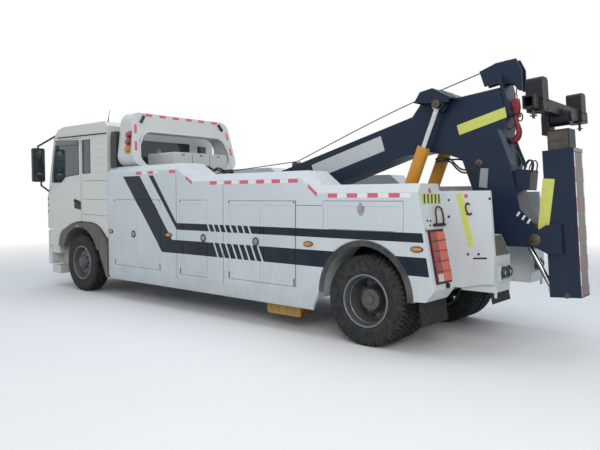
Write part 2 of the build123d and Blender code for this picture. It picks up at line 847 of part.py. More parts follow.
def boom_main():
    arm = slab(boom_outline, -boom_half, boom_half)
    arm = arm - slab(boom_hollow, -boom_half + plate, boom_half - plate)
    gap = slide_gap
    mouth = [boom_point(mouth_start, tube_low - gap), boom_point(head_length + 40, tube_low - gap),
             boom_point(head_length + 40, tube_high + gap), boom_point(mouth_start, tube_high + gap)]
    collar = [boom_point(collar_start, tube_low - 70), boom_point(collar_end, tube_low - 40),
              boom_point(collar_end, tube_high + 10), boom_point(collar_start, tube_high + 50)]
    arm = arm + slab(collar, -boom_half + 1, boom_half - 1)
    arm = arm - slab(mouth, -tube_half - gap, tube_half + gap)
    open_foot = [(-1510, 1100), (-1000, 1100), (-760, 1900), (-860, 1960), (-1110, 1250), (-1510, 1250)]
    arm = arm - slab(open_foot, -fold_slot, fold_slot)
    hx, hz = fold_hinge
    arm = arm - rod_y(hx, hz, hinge_pin + seat_gap, -boom_half - 1, boom_half + 1)
    px, pz = pivot
    arm = arm - rod_y(px, pz, pivot_pin + seat_gap, -boom_half - 1, boom_half + 1)
    ex, ez = rod_eye
    lug = rod_y(ex, ez, 90, boom_half - 1, cylinder_y - eye_width / 2 - eye_side_gap)
    pod = slab([(-130, 2905), (-213, 3030), (-382, 3060), (-600, 2940), (-600, 2870), (-330, 2885)],
               pod_out - pod_thick, pod_out)
    lid = slab([(-130, 2905), (-213, 3030), (-382, 3060), (-600, 2940), (-600, 2920), (-382, 3040),
                (-222, 3010), (-145, 2900)], boom_half - 1, pod_out - pod_thick + 1)
    arm = arm + lug + mirrored(lug) + pod + mirrored(pod) + lid + mirrored(lid)
    kx, kz = fold_barrel_eye
    arm = arm + rod_y(kx, kz, 30, -boom_half + 2, boom_half - 2)
    valve_box = slab(valve_outline, -valve_half, valve_half)
    return arm + valve_box


plate_thick = 40.0
end_low = -210.0
end_high = 268.0
sheave_x, sheave_z = boom_point(head_length + 86.4, 309.6)
sheave_radius = 130.0
sheave_pin = 28.0
flange_wide = 12.0
cheek_in = 52.0
cheek_thick = 22.0
cheek_outline = [
    # past the boom's end, above its axis
    (-57.0, 219.0), (-205.0, 232.0), (-220.0, 430.0), (-59.0, 442.0), (-9.0, 448.0),
    (228.0, 406.0), (258.0, 265.0), (209.0, 22.0), (171.0, 37.0), (123.0, 136.0),
]


def boom_inner():
    outer = slab([boom_point(tube_start, tube_low), boom_point(head_length + 10, tube_low),
                  boom_point(head_length + 10, tube_high), boom_point(tube_start, tube_high)],
                 -tube_half, tube_half)
    w = tube_wall
    inner = slab([boom_point(tube_start - 1, tube_low + w), boom_point(head_length - 1, tube_low + w),
                  boom_point(head_length - 1, tube_high - w), boom_point(tube_start - 1, tube_high - w)],
                 -tube_half + w, tube_half - w)
    near = head_length + running_gap
    far = near + plate_thick
    end = slab([boom_point(near, end_low), boom_point(far, end_low), boom_point(far, end_high),
                boom_point(near, end_high)], -boom_half, boom_half)
    end = end - rod_y(sheave_x, sheave_z, sheave_radius + 8, -cheek_in, cheek_in)
    cheek_out = cheek_in + cheek_thick
    cheek = slab([boom_point(head_length + d, n) for d, n in cheek_outline], cheek_in, cheek_out)
    pin = rod_y(sheave_x, sheave_z, sheave_pin, -cheek_out, cheek_out)
    return (outer - inner) + end + cheek + mirrored(cheek) + pin


def sheave():
    half = cheek_in - running_gap
    wheel = rod_y(sheave_x, sheave_z, sheave_radius - 20, -half, half)
    for side in (-1, 1):
        wheel = wheel + rod_y(sheave_x, sheave_z, sheave_radius, side * (half - flange_wide), side * half)
    return wheel - rod_y(sheave_x, sheave_z, sheave_pin + seat_gap, -cheek_in, cheek_in)


cap_thick = 15.0
gland_thick = 25.0
piston_thick = 30.0
barrel_start = 95.0
barrel_length = 1306.0
rod_radius = 36.0
lift_rod_length = 1360.0
eye_ring = 68.0


def cylinder_barrel(base, tip, length, start, outer, bore, rod, pin, width, y):
    """A cylinder's barrel on its lower eye, open at the gland that its rod runs through."""
    body = bar_between(point_along(base, tip, start), point_along(base, tip, length), outer, y)
    inside_low = point_along(base, tip, start + cap_thick)
    inside_high = point_along(base, tip, length - gland_thick)
    body = body - bar_between(inside_low, inside_high, bore, y)
    body = body - bar_between(inside_high, point_along(base, tip, length + 5), rod + seat_gap, y)
    neck = bar_between(base, point_along(base, tip, start + 5), outer * 0.6, y)
    eye = rod_y(base[0], base[1], outer * 0.9, y - width / 2, y + width / 2)
    hole = rod_y(base[0], base[1], pin + seat_gap, y - width, y + width)
    return body + neck + eye - hole


def cylinder_rod(base, tip, length, radius, bore, ring, width, y):
    """A cylinder's rod, with its piston and its upper eye."""
    distance = math.hypot(tip[0] - base[0], tip[1] - base[1])
    low = distance - length
    start = point_along(base, tip, low)
    shaft = bar_between(start, point_along(base, tip, distance - ring * 0.5), radius, y)
    piston = bar_between(start, point_along(base, tip, low + piston_thick), bore - seat_gap, y)
    eye = rod_y(tip[0], tip[1], ring, y - width / 2, y + width / 2)
    return shaft + piston + eye


def lift_barrels():
    return both(cylinder_barrel(barrel_eye, rod_eye, barrel_length, barrel_start, barrel_radius,
                                barrel_bore, rod_radius, cylinder_pin, eye_width, cylinder_y))


def lift_rods():
    return both(cylinder_rod(barrel_eye, rod_eye, lift_rod_length, rod_radius, barrel_bore, eye_ring,
                             eye_width, cylinder_y))


fold_radius = 55.0
fold_bore = 42.0
fold_rod = 30.0
fold_pin = 30.0
fold_ring = 42.0
fold_start = 70.0
fold_length = 860.0
fold_rod_length = 870.0
fold_width = 80.0


def fold_barrel():
    return cylinder_barrel(fold_barrel_eye, fold_rod_eye, fold_length, fold_start, fold_radius, fold_bore,
                           fold_rod, fold_pin, fold_width, 0)


def fold_piston():
    return cylinder_rod(fold_barrel_eye, fold_rod_eye, fold_rod_length, fold_rod, fold_bore, fold_ring,
                        fold_width, 0)


# Underlift

stinger_lean = 4.0
stinger_half = 155.0
stinger_front = 115.0
stinger_back = 445.0
stinger_low = -640.0
stinger_top = 980.0
stinger_wall = 30.0
ear_in = 175.0
ear_thick = 25.0


def stinger_point(up, back):
    """A point up along the folded underlift from its hinge, and back from it."""
    ux, uz = rotated(0, up, -stinger_lean)
    bx, bz = rotated(-back, 0, -stinger_lean)
    return (fold_hinge[0] + ux + bx, fold_hinge[1] + uz + bz)


def stinger_slab(up0, up1, back0, back1, y0, y1):
    return slab([stinger_point(up0, back0), stinger_point(up1, back0), stinger_point(up1, back1),
                 stinger_point(up0, back1)], y0, y1)


inner_half = 115.0
inner_front = 165.0
inner_back = 395.0
inner_low = -150.0
inner_top = 1200.0
swivel_up = 1340.0
neck_front = 100.0
neck_back = 188.0
hub_front = 200.0
hub_back = 390.0
swivel_hub = 95.0
swivel_pin = 40.0
bar_half = 900.0


def stinger():
    w = stinger_wall
    body = stinger_slab(stinger_low, stinger_top, stinger_front, stinger_back, -stinger_half, stinger_half)
    body = body - stinger_slab(stinger_low + w, stinger_top + 1, stinger_front + w, stinger_back - w,
                               -stinger_half + w, stinger_half - w)
    body = body - stinger_slab(stinger_low - 1, -200, stinger_front - 1, stinger_front + w + 1, -70, 70)
    collar = stinger_slab(stinger_top - 60, stinger_top, stinger_front + w, stinger_back - w,
                          -stinger_half + w, stinger_half - w)
    g = slide_gap
    collar = collar - stinger_slab(stinger_top - 61, stinger_top + 1, inner_front - g, inner_back + g,
                                   -inner_half - g, inner_half + g)
    body = body + collar
    hx, hz = fold_hinge
    ear = slab([stinger_point(-160, 125), stinger_point(160, 125), stinger_point(160, 290),
                stinger_point(-160, 290)], stinger_half, ear_in + ear_thick)
    link = slab([stinger_point(-85, 0), stinger_point(85, 0), stinger_point(160, 130),
                 stinger_point(-160, 130)], ear_in, ear_in + ear_thick)
    ear = ear + link + rod_y(hx, hz, foot_boss, ear_in, ear_in + ear_thick)
    body = body + ear + mirrored(ear)
    body = body + rod_y(hx, hz, hinge_pin, -ear_in - ear_thick - 8, ear_in + ear_thick + 8)
    for side in (-1, 1):
        lug = slab([stinger_point(-620, stinger_front + 5), stinger_point(-500, stinger_front + 5),
                    stinger_point(-500, stinger_front + 80), stinger_point(-620, stinger_front + 80)],
                   side * (fold_width / 2 + eye_side_gap), side * (fold_width / 2 + 22))
        body = body + lug
    return body


def stinger_inner():
    w = 16.0
    body = stinger_slab(inner_low, inner_top, inner_front, inner_back, -inner_half, inner_half)
    body = body - stinger_slab(inner_low - 1, inner_top - w, inner_front + w, inner_back - w,
                               -inner_half + w, inner_half - w)
    neck = stinger_slab(inner_top - 30, swivel_up, neck_front, neck_back, -90, 90)
    foot = stinger_slab(inner_top - 40, inner_top, neck_front, inner_back - 60, -90, 90)
    cap_round = swivel_bar(neck_front, neck_back, 90)
    pin = swivel_bar(neck_front, hub_back + 20, swivel_pin)
    head = swivel_bar(hub_back + 2, hub_back + 20, swivel_pin + 18)
    return body + neck + foot + cap_round + pin + head


def swivel_bar(back0, back1, radius):
    """A round bar on the crosshead's swivel axis."""
    return bar_between(stinger_point(swivel_up, back0), stinger_point(swivel_up, back1), radius, 0)


fork_y = 650.0
fork_low = swivel_up - 10.0
fork_high = swivel_up + 340.0
fork_back = hub_front + 65.0
fork_bore = 35.0
fork_half = 90.0
fork_round = 40.0
beam_wall = 18.0


def crosshead():
    hub = swivel_bar(hub_front, hub_back, swivel_hub)
    beam = stinger_slab(swivel_up + 10, swivel_up + 140, hub_front, hub_front + 120, -bar_half, bar_half)
    head = hub + beam
    for side in (-1, 1):
        y = side * fork_y
        head = head - stinger_slab(swivel_up + 10 + beam_wall, swivel_up + 140 - beam_wall,
                                   hub_front + beam_wall, hub_front + 120 - beam_wall,
                                   side * (fork_y + fork_half - 1), side * (bar_half + 1))
        holder = stinger_slab(fork_low, fork_high, hub_front - 20, hub_front + 150,
                              y - fork_half, y + fork_half)
        crown = stinger_point(fork_high, 0)[1] - 60
        top = [e for e in holder.edges() if e.center().Z > crown and abs(e.tangent_at(0.5).X) > 0.9]
        head = head + fillet(top, fork_round)
        head = head - bar_between(stinger_point(fork_low - 1, fork_back),
                                  stinger_point(fork_high + 1, fork_back), fork_bore, y)
    return head - swivel_bar(hub_front - 10, hub_back + 10, swivel_pin + seat_gap)


# Cab

cab_half = 1205.0
cab_wall = 45.0
cab_lip = 20.0
cab_inside = cab_half - cab_wall - cab_lip
cab_rear = 5500.0
cab_nose_low = 1140.0
cab_front = 7720.0
nose_rear = 7290.0
screen_top = (7420.0, 2880.0)
screen_low = (7650.0, 1950.0)
door_seam = 6420.0
glass_thick = 8.0
glass_inset = 12.0
screen_half = 1085.0
screen_low_z = 1975.0
screen_high_z = 2820.0
cab_hinge = (7690.0, 1120.0)
cab_hinge_y = 430.0
cab_lug_thick = 40.0
cab_lug_radius = 15.0
cab_pin_radius = 8.0


def screen_x(z):
    """The X of the windscreen's outer plane at a height."""
    share = (screen_top[1] - z) / (screen_top[1] - screen_low[1])
    return screen_top[0] + share * (screen_low[0] - screen_top[0])


cab_outline = [
    (cab_rear, cab_floor), (cab_rear, 3010), (5570, 3090), (7000, 3100), (7240, 3061), (7385, 2935),
    screen_top, screen_low, (cab_front, 1760), (cab_front, cab_nose_low), (nose_rear, cab_nose_low),
    (nose_rear, cab_floor),
]
cab_hollow = [
    (cab_rear + cab_wall, cab_floor + cab_wall), (cab_rear + cab_wall, 2990), (5600, 3045), (6985, 3055),
    (7205, 3018), (7345, 2900), (7375, 2860), (7602, 1940), (cab_front - cab_wall, 1750),
    (cab_front - cab_wall, cab_nose_low + cab_wall), (nose_rear + cab_wall, cab_nose_low + cab_wall),
    (nose_rear + cab_wall, cab_floor + cab_wall),
]
cab_skirt = [
    (door_seam, cab_floor + 1), (door_seam, 1308), (6290, 1305), (6050, 1298), (5890, 1270), (5740, 1205),
    (5650, 1135), (5540, 1040), (cab_rear, 1030), (cab_rear, cab_floor + 1),
]
door_outline = [
    (door_seam, 2850), (7395, 2850), (7440, 2700), (7560, 2200), (7590, 2000), (7650, 1780),
    (7658, 1130), (7110, 1130), (6940, 1200), (6780, 1258), (6610, 1292), (door_seam, 1308),
]
door_window = [
    (6480, 2795), (7345, 2795), (7400, 2600), (7490, 2200), (7505, 2050), (7150, 2045), (6980, 2150),
    (6480, 2180),
]
side_window = (6070.0, 6345.0, 2190.0, 2805.0)
rear_windows = (
    # y low, y high, z low, z high
    (-620.0, 620.0, 2330.0, 2800.0),
    (175.0 - cab_half, 395.0 - cab_half, 2330.0, 2770.0),
)


def grown(points, amount):
    """An outline moved outwards all round."""
    return offset(make_face(Polyline(*points, close=True)), amount=amount, kind=Kind.INTERSECTION)


bead_rear = 5585.0
bead_front = 5960.0
bead_low = 2207.0
bead_pitch = 130.5
bead_count = 5
bead_tall = 26.0
bead_proud = 7.0
slot_low = 1220.0
slot_pitch = 92.0
slot_tall = 60.0
slot_count = 5
slot_half = 760.0
slot_deep = 25.0


def cab_shell():
    shell = slab(cab_outline, -cab_half, cab_half)
    skirt = slab(cab_skirt, cab_half - cab_wall, cab_half)
    shell = shell + skirt + mirrored(skirt)
    shell = shell - slab(cab_hollow, -cab_inside, cab_inside)
    for k in range(bead_count):
        z = bead_low + k * bead_pitch
        bead = block(bead_rear, bead_front, cab_half - 1, cab_half + bead_proud, z, z + bead_tall)
        shell = shell + bead + mirrored(bead)
    for k in range(slot_count):
        z = slot_low + k * slot_pitch
        shell = shell - block(cab_front - slot_deep, cab_front + 1, -slot_half, slot_half, z, z + slot_tall)
    hole = face_slab(grown(door_outline, leaf_gap), cab_half - cab_wall - seat_gap, cab_half + 1)
    hole = hole + face_slab(grown(door_outline, -rebate), cab_inside - 1, cab_half)
    x0, x1, z0, z1 = side_window
    pane = block(x0, x1, cab_inside - 1, cab_half + 1, z0, z1)
    shell = shell - hole - mirrored(hole) - pane - mirrored(pane)
    shell = shell - block(7300, cab_front + 100, -screen_half, screen_half, screen_low_z, screen_high_z)
    for y0, y1, z0, z1 in rear_windows:
        shell = shell - block(cab_rear - 1, cab_rear + cab_wall + 1, y0, y1, z0, z1)
    hx, hz = cab_hinge
    knuckle_in = cab_hinge_y + cab_lug_thick + slide_gap
    lug = rod_y(hx, hz, cab_lug_radius, knuckle_in, knuckle_in + cab_lug_thick)
    lug = lug + block(hx - 12, hx + 12, knuckle_in, knuckle_in + cab_lug_thick, hz, cab_nose_low + 1)
    lug = lug - rod_y(hx, hz, cab_pin_radius + seat_gap, 0, cab_half)
    return shell + lug + mirrored(lug)


def cab_glass():
    t = glass_inset + glass_thick
    high_x = screen_x(screen_high_z)
    low_x = screen_x(screen_low_z)
    outline = [(high_x - t, screen_high_z), (high_x - glass_inset, screen_high_z),
               (low_x - glass_inset, screen_low_z), (low_x - t, screen_low_z)]
    screen = slab(outline, -screen_half, screen_half)
    x0, x1, z0, z1 = side_window
    side = block(x0, x1, cab_half - t, cab_half - glass_inset, z0, z1)
    panes = [screen, side, mirrored(side)]
    for y0, y1, z0, z1 in rear_windows:
        panes.append(block(cab_rear + glass_inset, cab_rear + t, y0, y1, z0, z1))
    return Compound(children=[solid for pane in panes for solid in solids_of(pane)])


def cab_door():
    door = slab(door_outline, cab_half - cab_wall, cab_half)
    return door - slab(door_window, cab_half - cab_wall - 1, cab_half + 1)


def door_glass():
    return slab(door_window, cab_half - glass_inset - glass_thick, cab_half - glass_inset)


seat_y = 620.0
floor_top = cab_floor + cab_wall


def cab_seats():
    seat = block(6560, 7020, seat_y - 250, seat_y + 250, floor_top + 260, floor_top + 420)
    base = block(6640, 6960, seat_y - 180, seat_y + 180, floor_top, floor_top + 261)
    back = slab([(6640, floor_top + 380), (6560, floor_top + 380), (6400, 2480), (6480, 2500)],
                seat_y - 240, seat_y + 240)
    bunk_half = cab_inside - 40
    bunk = block(cab_rear + cab_wall, 6150, -bunk_half, bunk_half, floor_top, floor_top + 420)
    return Compound(children=[*solids_of(both(seat + base + back)), *solids_of(bunk)])


steering_centre = (7060.0, seat_y, 2010.0)
steering_radius = 225.0


def dashboard():
    board = slab([(7330, floor_top), (7500, floor_top), (7630, 1720), (7590, 1900), (7300, 1990),
                  (7230, 1900), (7250, 1700)], -cab_inside, cab_inside)
    centre = Plane(origin=steering_centre, z_dir=(-0.5, 0, 0.87))
    rim = [(steering_radius - 14, -14), (steering_radius, -16), (steering_radius + 14, -14),
           (steering_radius + 14, 14), (steering_radius, 16), (steering_radius - 14, 14)]
    wheel = centre * Rot(90, 0, 0) * faceted(rim, 24)
    spoke = centre * Box(40, 2 * steering_radius - 10, 16)
    column = Solid.make_cylinder(28, 370, Plane(origin=steering_centre, z_dir=(0.5, 0, -0.87)))
    return board + wheel + spoke + column


visor_outline = [
    (7432.0, 3090.0), (7478.0, 3108.0), (7600.0, 3010.0), (7660.0, 2918.0), (7644.0, 2908.0),
    (7580.0, 2990.0), (7470.0, 3078.0),
]
visor_half = 1020.0
visor_stay = 20.0
mirror_x = 7680.0
mirror_y = 1400.0
arm_radius = 18.0


def mirrors():
    shell = block(mirror_x - 40, mirror_x + 35, mirror_y - 115, mirror_y + 121, 2060, 2720)
    shell = fillet(shell.edges().filter_by(Axis.X), 35)
    top = bar_3d((7330, cab_half - 60, 2990), (mirror_x, mirror_y, 2760), arm_radius)
    drop = bar_3d((mirror_x, mirror_y, 2700), (mirror_x, mirror_y, 2760), arm_radius)
    foot = bar_3d((mirror_x - 12, cab_half - 30, 1860), (mirror_x, mirror_y - 50, 1990), arm_radius)
    rise = bar_3d((mirror_x, mirror_y - 50, 1990), (mirror_x, mirror_y - 50, 2070), arm_radius)
    mirror_set = both(shell + top + drop + foot + rise)
    body = slab(cab_outline, -cab_half, cab_half)
    fittings = [solid for piece in solids_of(mirror_set) for solid in solids_of(piece - body)]
    return Compound(children=[*fittings, *solids_of(sun_visor(body))])


def sun_visor(body):
    """A curved shade over the windscreen, on three short stays that stand on the cab's brow."""
    visor = slab(visor_outline, -visor_half, visor_half)
    for y in (-visor_half + 60, 0, visor_half - 60):
        visor = visor + slab([(7300, 3040), (7436, 3098), (7470, 3085), (7330, 2960)],
                             y - visor_stay / 2, y + visor_stay / 2)
    return visor - body


def bar_3d(start, end, radius):
    """A round bar between two points, run on by its radius at each end to make a closed elbow."""
    a = Vector(*start)
    b = Vector(*end)
    run = (b - a).normalized() * (radius / 2)
    return Solid.make_cylinder(radius, (b - a).length + radius, Plane(origin=a - run, z_dir=(b - a)))


bumper_low = 430.0
bumper_high = 1100.0
bumper_thick = 50.0
corner_low = 800.0
corner_high = 1118.0


def front_bumper():
    rear = cab_front - bumper_thick
    front = block(rear, cab_front, -cab_half + 5, cab_half - 5, bumper_low, bumper_high)
    wrap = block(rear - 80, rear + 1, 900, cab_half - 5, bumper_low, corner_low - 10)
    corner = slab([(7655, corner_low + 5), (7278, corner_low), (7262, 920), (7200, 1068),
                   (7130, corner_high), (7655, corner_high)], cab_half - cab_wall, cab_half - 5)
    step = block(7278, rear - 79, 880, cab_half - 15, 260, corner_low + 1)
    tread = block(7277, rear - 78, 960, cab_half, 420, 660)
    step = step - tread
    link = block(rail_front, rear + 1, rail_out - rail_flange, rail_out, cross_low, cross_high)
    tie = block(7500, rear - 79, rail_out - 1, 881, cross_low, corner_low)
    hx, hz = cab_hinge
    lug = block(hx - 15, hx + 15, cab_hinge_y, cab_hinge_y + cab_lug_thick, bumper_high - 1, hz)
    lug = lug + rod_y(hx, hz, cab_lug_radius, cab_hinge_y, cab_hinge_y + cab_lug_thick)
    pin = rod_y(hx, hz, cab_pin_radius, cab_hinge_y, cab_hinge_y + 2 * cab_lug_thick + 2 * slide_gap)
    side = wrap + step + link + tie + corner + lug + pin
    return front + side + mirrored(side)


fender_outline = [
    (7250, 805), (7240, 905), (7178, 1045), (7092, 1112), (6930, 1185), (6770, 1243), (6600, 1277),
    (6290, 1290), (6050, 1283), (5900, 1255), (5750, 1190), (5670, 1125), (5560, 1025), (5505, 900),
    (5505, 340), (5540, 340), (5785, 805),
]
fender_in = 890.0
fender_out = 1238.0
fender_clear = 665.0


def front_fender():
    fender = slab(fender_outline, fender_in, fender_out)
    fender = fender - rod_y(wheelbase, tyre_radius, fender_clear, fender_in - 1, fender_out + 1)
    stay_rear = rod_y(5620, 900, 22, rail_out, fender_in + 10)
    stay_front = rod_y(7190, 900, 16, rail_out, fender_in + 10)
    return fender + stay_rear + stay_front


def air_intake():
    top = level_high + cap
    duct = slab([(5240, top), (5415, top), (5415, 2820), (5380, 2890), (5240, 2890)], 900, 1190)
    return duct


def head_lamps():
    lamp = block(cab_front, cab_front + 10, 850, 1140, 620, 800)
    return both(lamp)


lamp_low = 820.0
lamp_high = 1370.0
lamp_deep = 30.0
lamp_columns = (
    # y in, y out of each column of lamps
    (865.0, 1044.0),
    (1048.0, 1178.0),
)


def rear_face_x(z):
    """The X of a locker body's leaned rear face at a height."""
    share = (z - rear_low[1]) / (rear_top[1] - rear_low[1])
    return rear_low[0] + share * (rear_top[0] - rear_low[0])


def tail_lamps():
    """Two upright lamp columns on each side's rear face, their ends rounded off."""
    low = rear_face_x(lamp_low)
    high = rear_face_x(lamp_high)
    edge = lamp_deep * 0.4
    outline = [(low, lamp_low), (low - edge, lamp_low), (low - lamp_deep, lamp_low + edge),
               (high - lamp_deep, lamp_high - edge), (high - edge, lamp_high), (high, lamp_high)]
    columns = [solid for y_in, y_out in lamp_columns for solid in solids_of(slab(outline, y_in, y_out))]
    return both(Compound(children=columns))


def exported_nodes():
    """Every node of the truck, by name."""
    left_leaves = locker_leaves()
    nodes = {
        "chassis_frame": chassis_frame(),
        "engine_block": engine_and_gearbox(),
        "front_axle": front_axle(),
        "rear_axle": rear_axle(),
        "subframe": subframe(),
        "deck": deck(),
        "headboard": headboard(),
        "equipment_box": equipment_box(),
        "winch_frame": winch_frame(),
        "air_intake": air_intake(),
        "front_bumper": front_bumper(),
        "front_fenders": both(front_fender()),
        "head_lamps": head_lamps(),
        "tail_lamps": tail_lamps(),
        "beacons": beacons(),
        "arch_lips": arch_lips(),
        "cab_shell": cab_shell(),
        "cab_glass": cab_glass(),
        "cab_seats": cab_seats(),
        "dashboard": dashboard(),
        "mirrors": mirrors(),
        "winch_drum": winch_drum(),
        "boom_main": boom_main(),
        "boom_inner": boom_inner(),
        "sheave": sheave(),
        "lift_barrels": lift_barrels(),
        "lift_rods": lift_rods(),
        "fold_barrel": fold_barrel(),
        "fold_piston": fold_piston(),
        "stinger": stinger(),
        "stinger_inner": stinger_inner(),
        "crosshead": crosshead(),
    }
    spindle_hole = rod_y(wheelbase, tyre_radius, spindle_radius + seat_gap, 0, front_hub_out - 30)
    axle_hole = rod_y(0, tyre_radius, axle_end_radius + seat_gap, 0, axle_end + 1)
    left_pieces = {
        "locker_body": locker_body() + tail_box(),
        "cab_door": cab_door(),
        "door_glass": door_glass(),
        "knuckle": knuckle(),
        "front_tyre": front_tyre(),
        "front_rim": front_rim() - spindle_hole,
        "rear_tyres": rear_tyres(),
        "rear_rims": rear_rims() - axle_hole,
        **left_leaves,
    }
    for name, shape in left_pieces.items():
        nodes[f"{name}_left"] = shape
        nodes[f"{name}_right"] = mirrored(shape)
    return nodes


for node_name, node_shape in exported_nodes().items():
    write(node_name, node_shape)
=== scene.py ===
import math

import bmesh
import bpy
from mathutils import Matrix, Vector


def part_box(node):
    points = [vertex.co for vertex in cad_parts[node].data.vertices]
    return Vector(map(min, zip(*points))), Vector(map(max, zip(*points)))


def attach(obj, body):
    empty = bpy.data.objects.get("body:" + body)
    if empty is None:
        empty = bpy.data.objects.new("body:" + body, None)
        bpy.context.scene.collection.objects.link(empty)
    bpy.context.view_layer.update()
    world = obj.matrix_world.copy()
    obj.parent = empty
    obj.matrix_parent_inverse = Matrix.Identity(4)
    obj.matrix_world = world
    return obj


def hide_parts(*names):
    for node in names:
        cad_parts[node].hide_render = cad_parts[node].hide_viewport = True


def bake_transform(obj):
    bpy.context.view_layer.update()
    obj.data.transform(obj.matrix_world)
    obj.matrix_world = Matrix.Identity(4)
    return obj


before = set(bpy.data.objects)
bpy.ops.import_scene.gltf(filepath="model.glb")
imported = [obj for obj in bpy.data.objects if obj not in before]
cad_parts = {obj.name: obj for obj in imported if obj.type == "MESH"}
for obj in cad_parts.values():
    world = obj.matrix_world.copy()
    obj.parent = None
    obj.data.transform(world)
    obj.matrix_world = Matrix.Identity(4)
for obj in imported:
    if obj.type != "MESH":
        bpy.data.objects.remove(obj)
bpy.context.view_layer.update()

bl_info = {
    "name": "Recovery truck",
    "version": (1, 0, 0),
    "blender": (4, 5, 0),
    "location": "3D View > Sidebar > Recovery truck",
    "description": "Builds the finish and the fittings of a heavy recovery truck on its packed frame",
    "category": "Object",
}


# Places. Along the truck they are counted from the rear axle, forwards, in metres.

def centre(node):
    """The middle of a node's box."""
    low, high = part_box(node)
    return (low + high) / 2


REAR_AXLE = centre("rear_tyres_left").x
FRONT_AXLE = centre("front_tyre_left").x
AXLE_HEIGHT = centre("rear_tyres_left").z
TYRE_RADIUS = (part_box("rear_tyres_left")[1].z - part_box("rear_tyres_left")[0].z) / 2
BODY_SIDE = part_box("locker_body_left")[1].y
SIDES = (("left", 1), ("right", -1))


def at(x, y, z):
    """A point given by its distance in front of the rear axle."""
    return Vector((x + REAR_AXLE, y, z))


def beside(y, outline):
    """Points at one distance from the truck's middle, from an outline of (x, z) points."""
    return [at(x, y, z) for x, z in outline]


# Shader building

def linear(code, share=1.0):
    """A #rrggbb colour as linear RGBA, darkened to a share of itself."""
    parts = [int(code[i:i + 2], 16) / 255 for i in (1, 3, 5)]
    return (*(share * (c / 12.92 if c <= 0.04045 else ((c + 0.055) / 1.055) ** 2.4) for c in parts), 1.0)


def add(tree, kind, inputs=(), out=0, **settings):
    """One output of a new node. Its inputs are linked or filled in, in order or by their names.

    A kind may have the node's operation after a space.
    """
    kind, _, operation = kind.partition(" ")
    node = tree.nodes.new("ShaderNode" + kind)
    if operation:
        node.operation = operation
    for name, value in settings.items():
        setattr(node, name, value)
    for key, value in inputs.items() if isinstance(inputs, dict) else enumerate(inputs):
        if isinstance(value, bpy.types.NodeSocket):
            tree.links.new(value, node.inputs[key])
        else:
            node.inputs[key].default_value = value
    return node.outputs[out]


def clouds(tree, millimetres, detail=4.0, spread=None, stretch=(1.0, 1.0, 1.0)):
    """Noise in patches about so many millimetres across, spread from low..high to 0..1 or to start..end."""
    spot = add(tree, "Mapping", (add(tree, "TexCoord", out="Object"), (0, 0, 0), (0, 0, 0), stretch))
    noise = add(tree, "TexNoise", {"Vector": spot, "Scale": 1000 / millimetres, "Detail": detail})
    return add(tree, "MapRange", (noise, *spread)) if spread else noise


# The Mix node as it mixes colours: inputs 0, 6 and 7 are its share and its two colours.
COLOUR_MIX = {"out": 2, "data_type": "RGBA"}


def clouded(tree, first, second, *patches):
    """Two linear colours, the second one in patches that are given as for clouds."""
    return add(tree, "Mix", {0: clouds(tree, *patches), 6: first, 7: second}, **COLOUR_MIX)


def started(name, **constants):
    """A new material with its tree and its shader, whose constants are set by socket name."""
    material = bpy.data.materials.new(name)
    material.use_nodes = True
    shader = material.node_tree.nodes["Principled BSDF"]
    for socket, value in constants.items():
        shader.inputs[socket.replace("_", " ")].default_value = value
    return material, material.node_tree, shader


DUST = "#97948b"
ROAD_GREY = "#6f6b63"


def finish_with(tree, shader, colour, rough, grain=None, depth=0.0005, cover=None, dirt=DUST):
    """Give a shader its colour, its roughness and a grain so many metres deep.

    A cover of dirt hides the colour where it lies. A roughness of four numbers follows the
    cover: from low..high of it to start..end.
    """
    if cover is not None:
        colour = add(tree, "Mix", {0: cover, 6: colour, 7: linear(dirt)}, **COLOUR_MIX)
    tree.links.new(colour, shader.inputs["Base Color"])
    if isinstance(rough, tuple):
        rough = add(tree, "MapRange", (cover, *rough))
    if isinstance(rough, bpy.types.NodeSocket):
        tree.links.new(rough, shader.inputs["Roughness"])
    else:
        shader.inputs["Roughness"].default_value = rough
    if grain is not None:
        relief = add(tree, "Bump", {"Height": grain, "Distance": depth, "Strength": 0.6})
        tree.links.new(relief, shader.inputs["Normal"])


# Dirt and livery

def road_film(tree, heavy, top=1.7):
    """How much dried road dirt lies on a point: patchy, streaked, and thicker towards the ground."""
    height = add(tree, "SeparateXYZ", (add(tree, "TexCoord", out="Object"),), "Z")
    low_down = add(tree, "MapRange", (height, 0.35, top, 1.0, 0.12))
    patches = clouds(tree, 420, 6.0, (0.34, 0.72))
    streaks = clouds(tree, 60, 5.0, (0.40, 0.75), (1.0, 1.0, 0.22))
    streaks = add(tree, "Math MULTIPLY", (streaks, 0.35))
    cover = add(tree, "Math MULTIPLY_ADD", (patches, 0.65, streaks))
    return add(tree, "Math MULTIPLY", (add(tree, "Math MULTIPLY", (cover, low_down)), heavy))


def lying_dust(tree, heavy):
    """How much dust lies on a point because its surface faces up."""
    up = add(tree, "SeparateXYZ", (add(tree, "NewGeometry", out="Normal"),), "Z")
    flat = add(tree, "MapRange", (up, 0.55, 0.95))
    patches = clouds(tree, 130, 5.0, (0.30, 0.62))
    return add(tree, "Math MULTIPLY", (add(tree, "Math MULTIPLY", (flat, patches)), heavy))


def dirt_cover(tree, film, settled):
    """The thicker one of the road film and the lying dust on a point."""
    return add(tree, "Math MAXIMUM", (road_film(tree, film), lying_dust(tree, settled)))


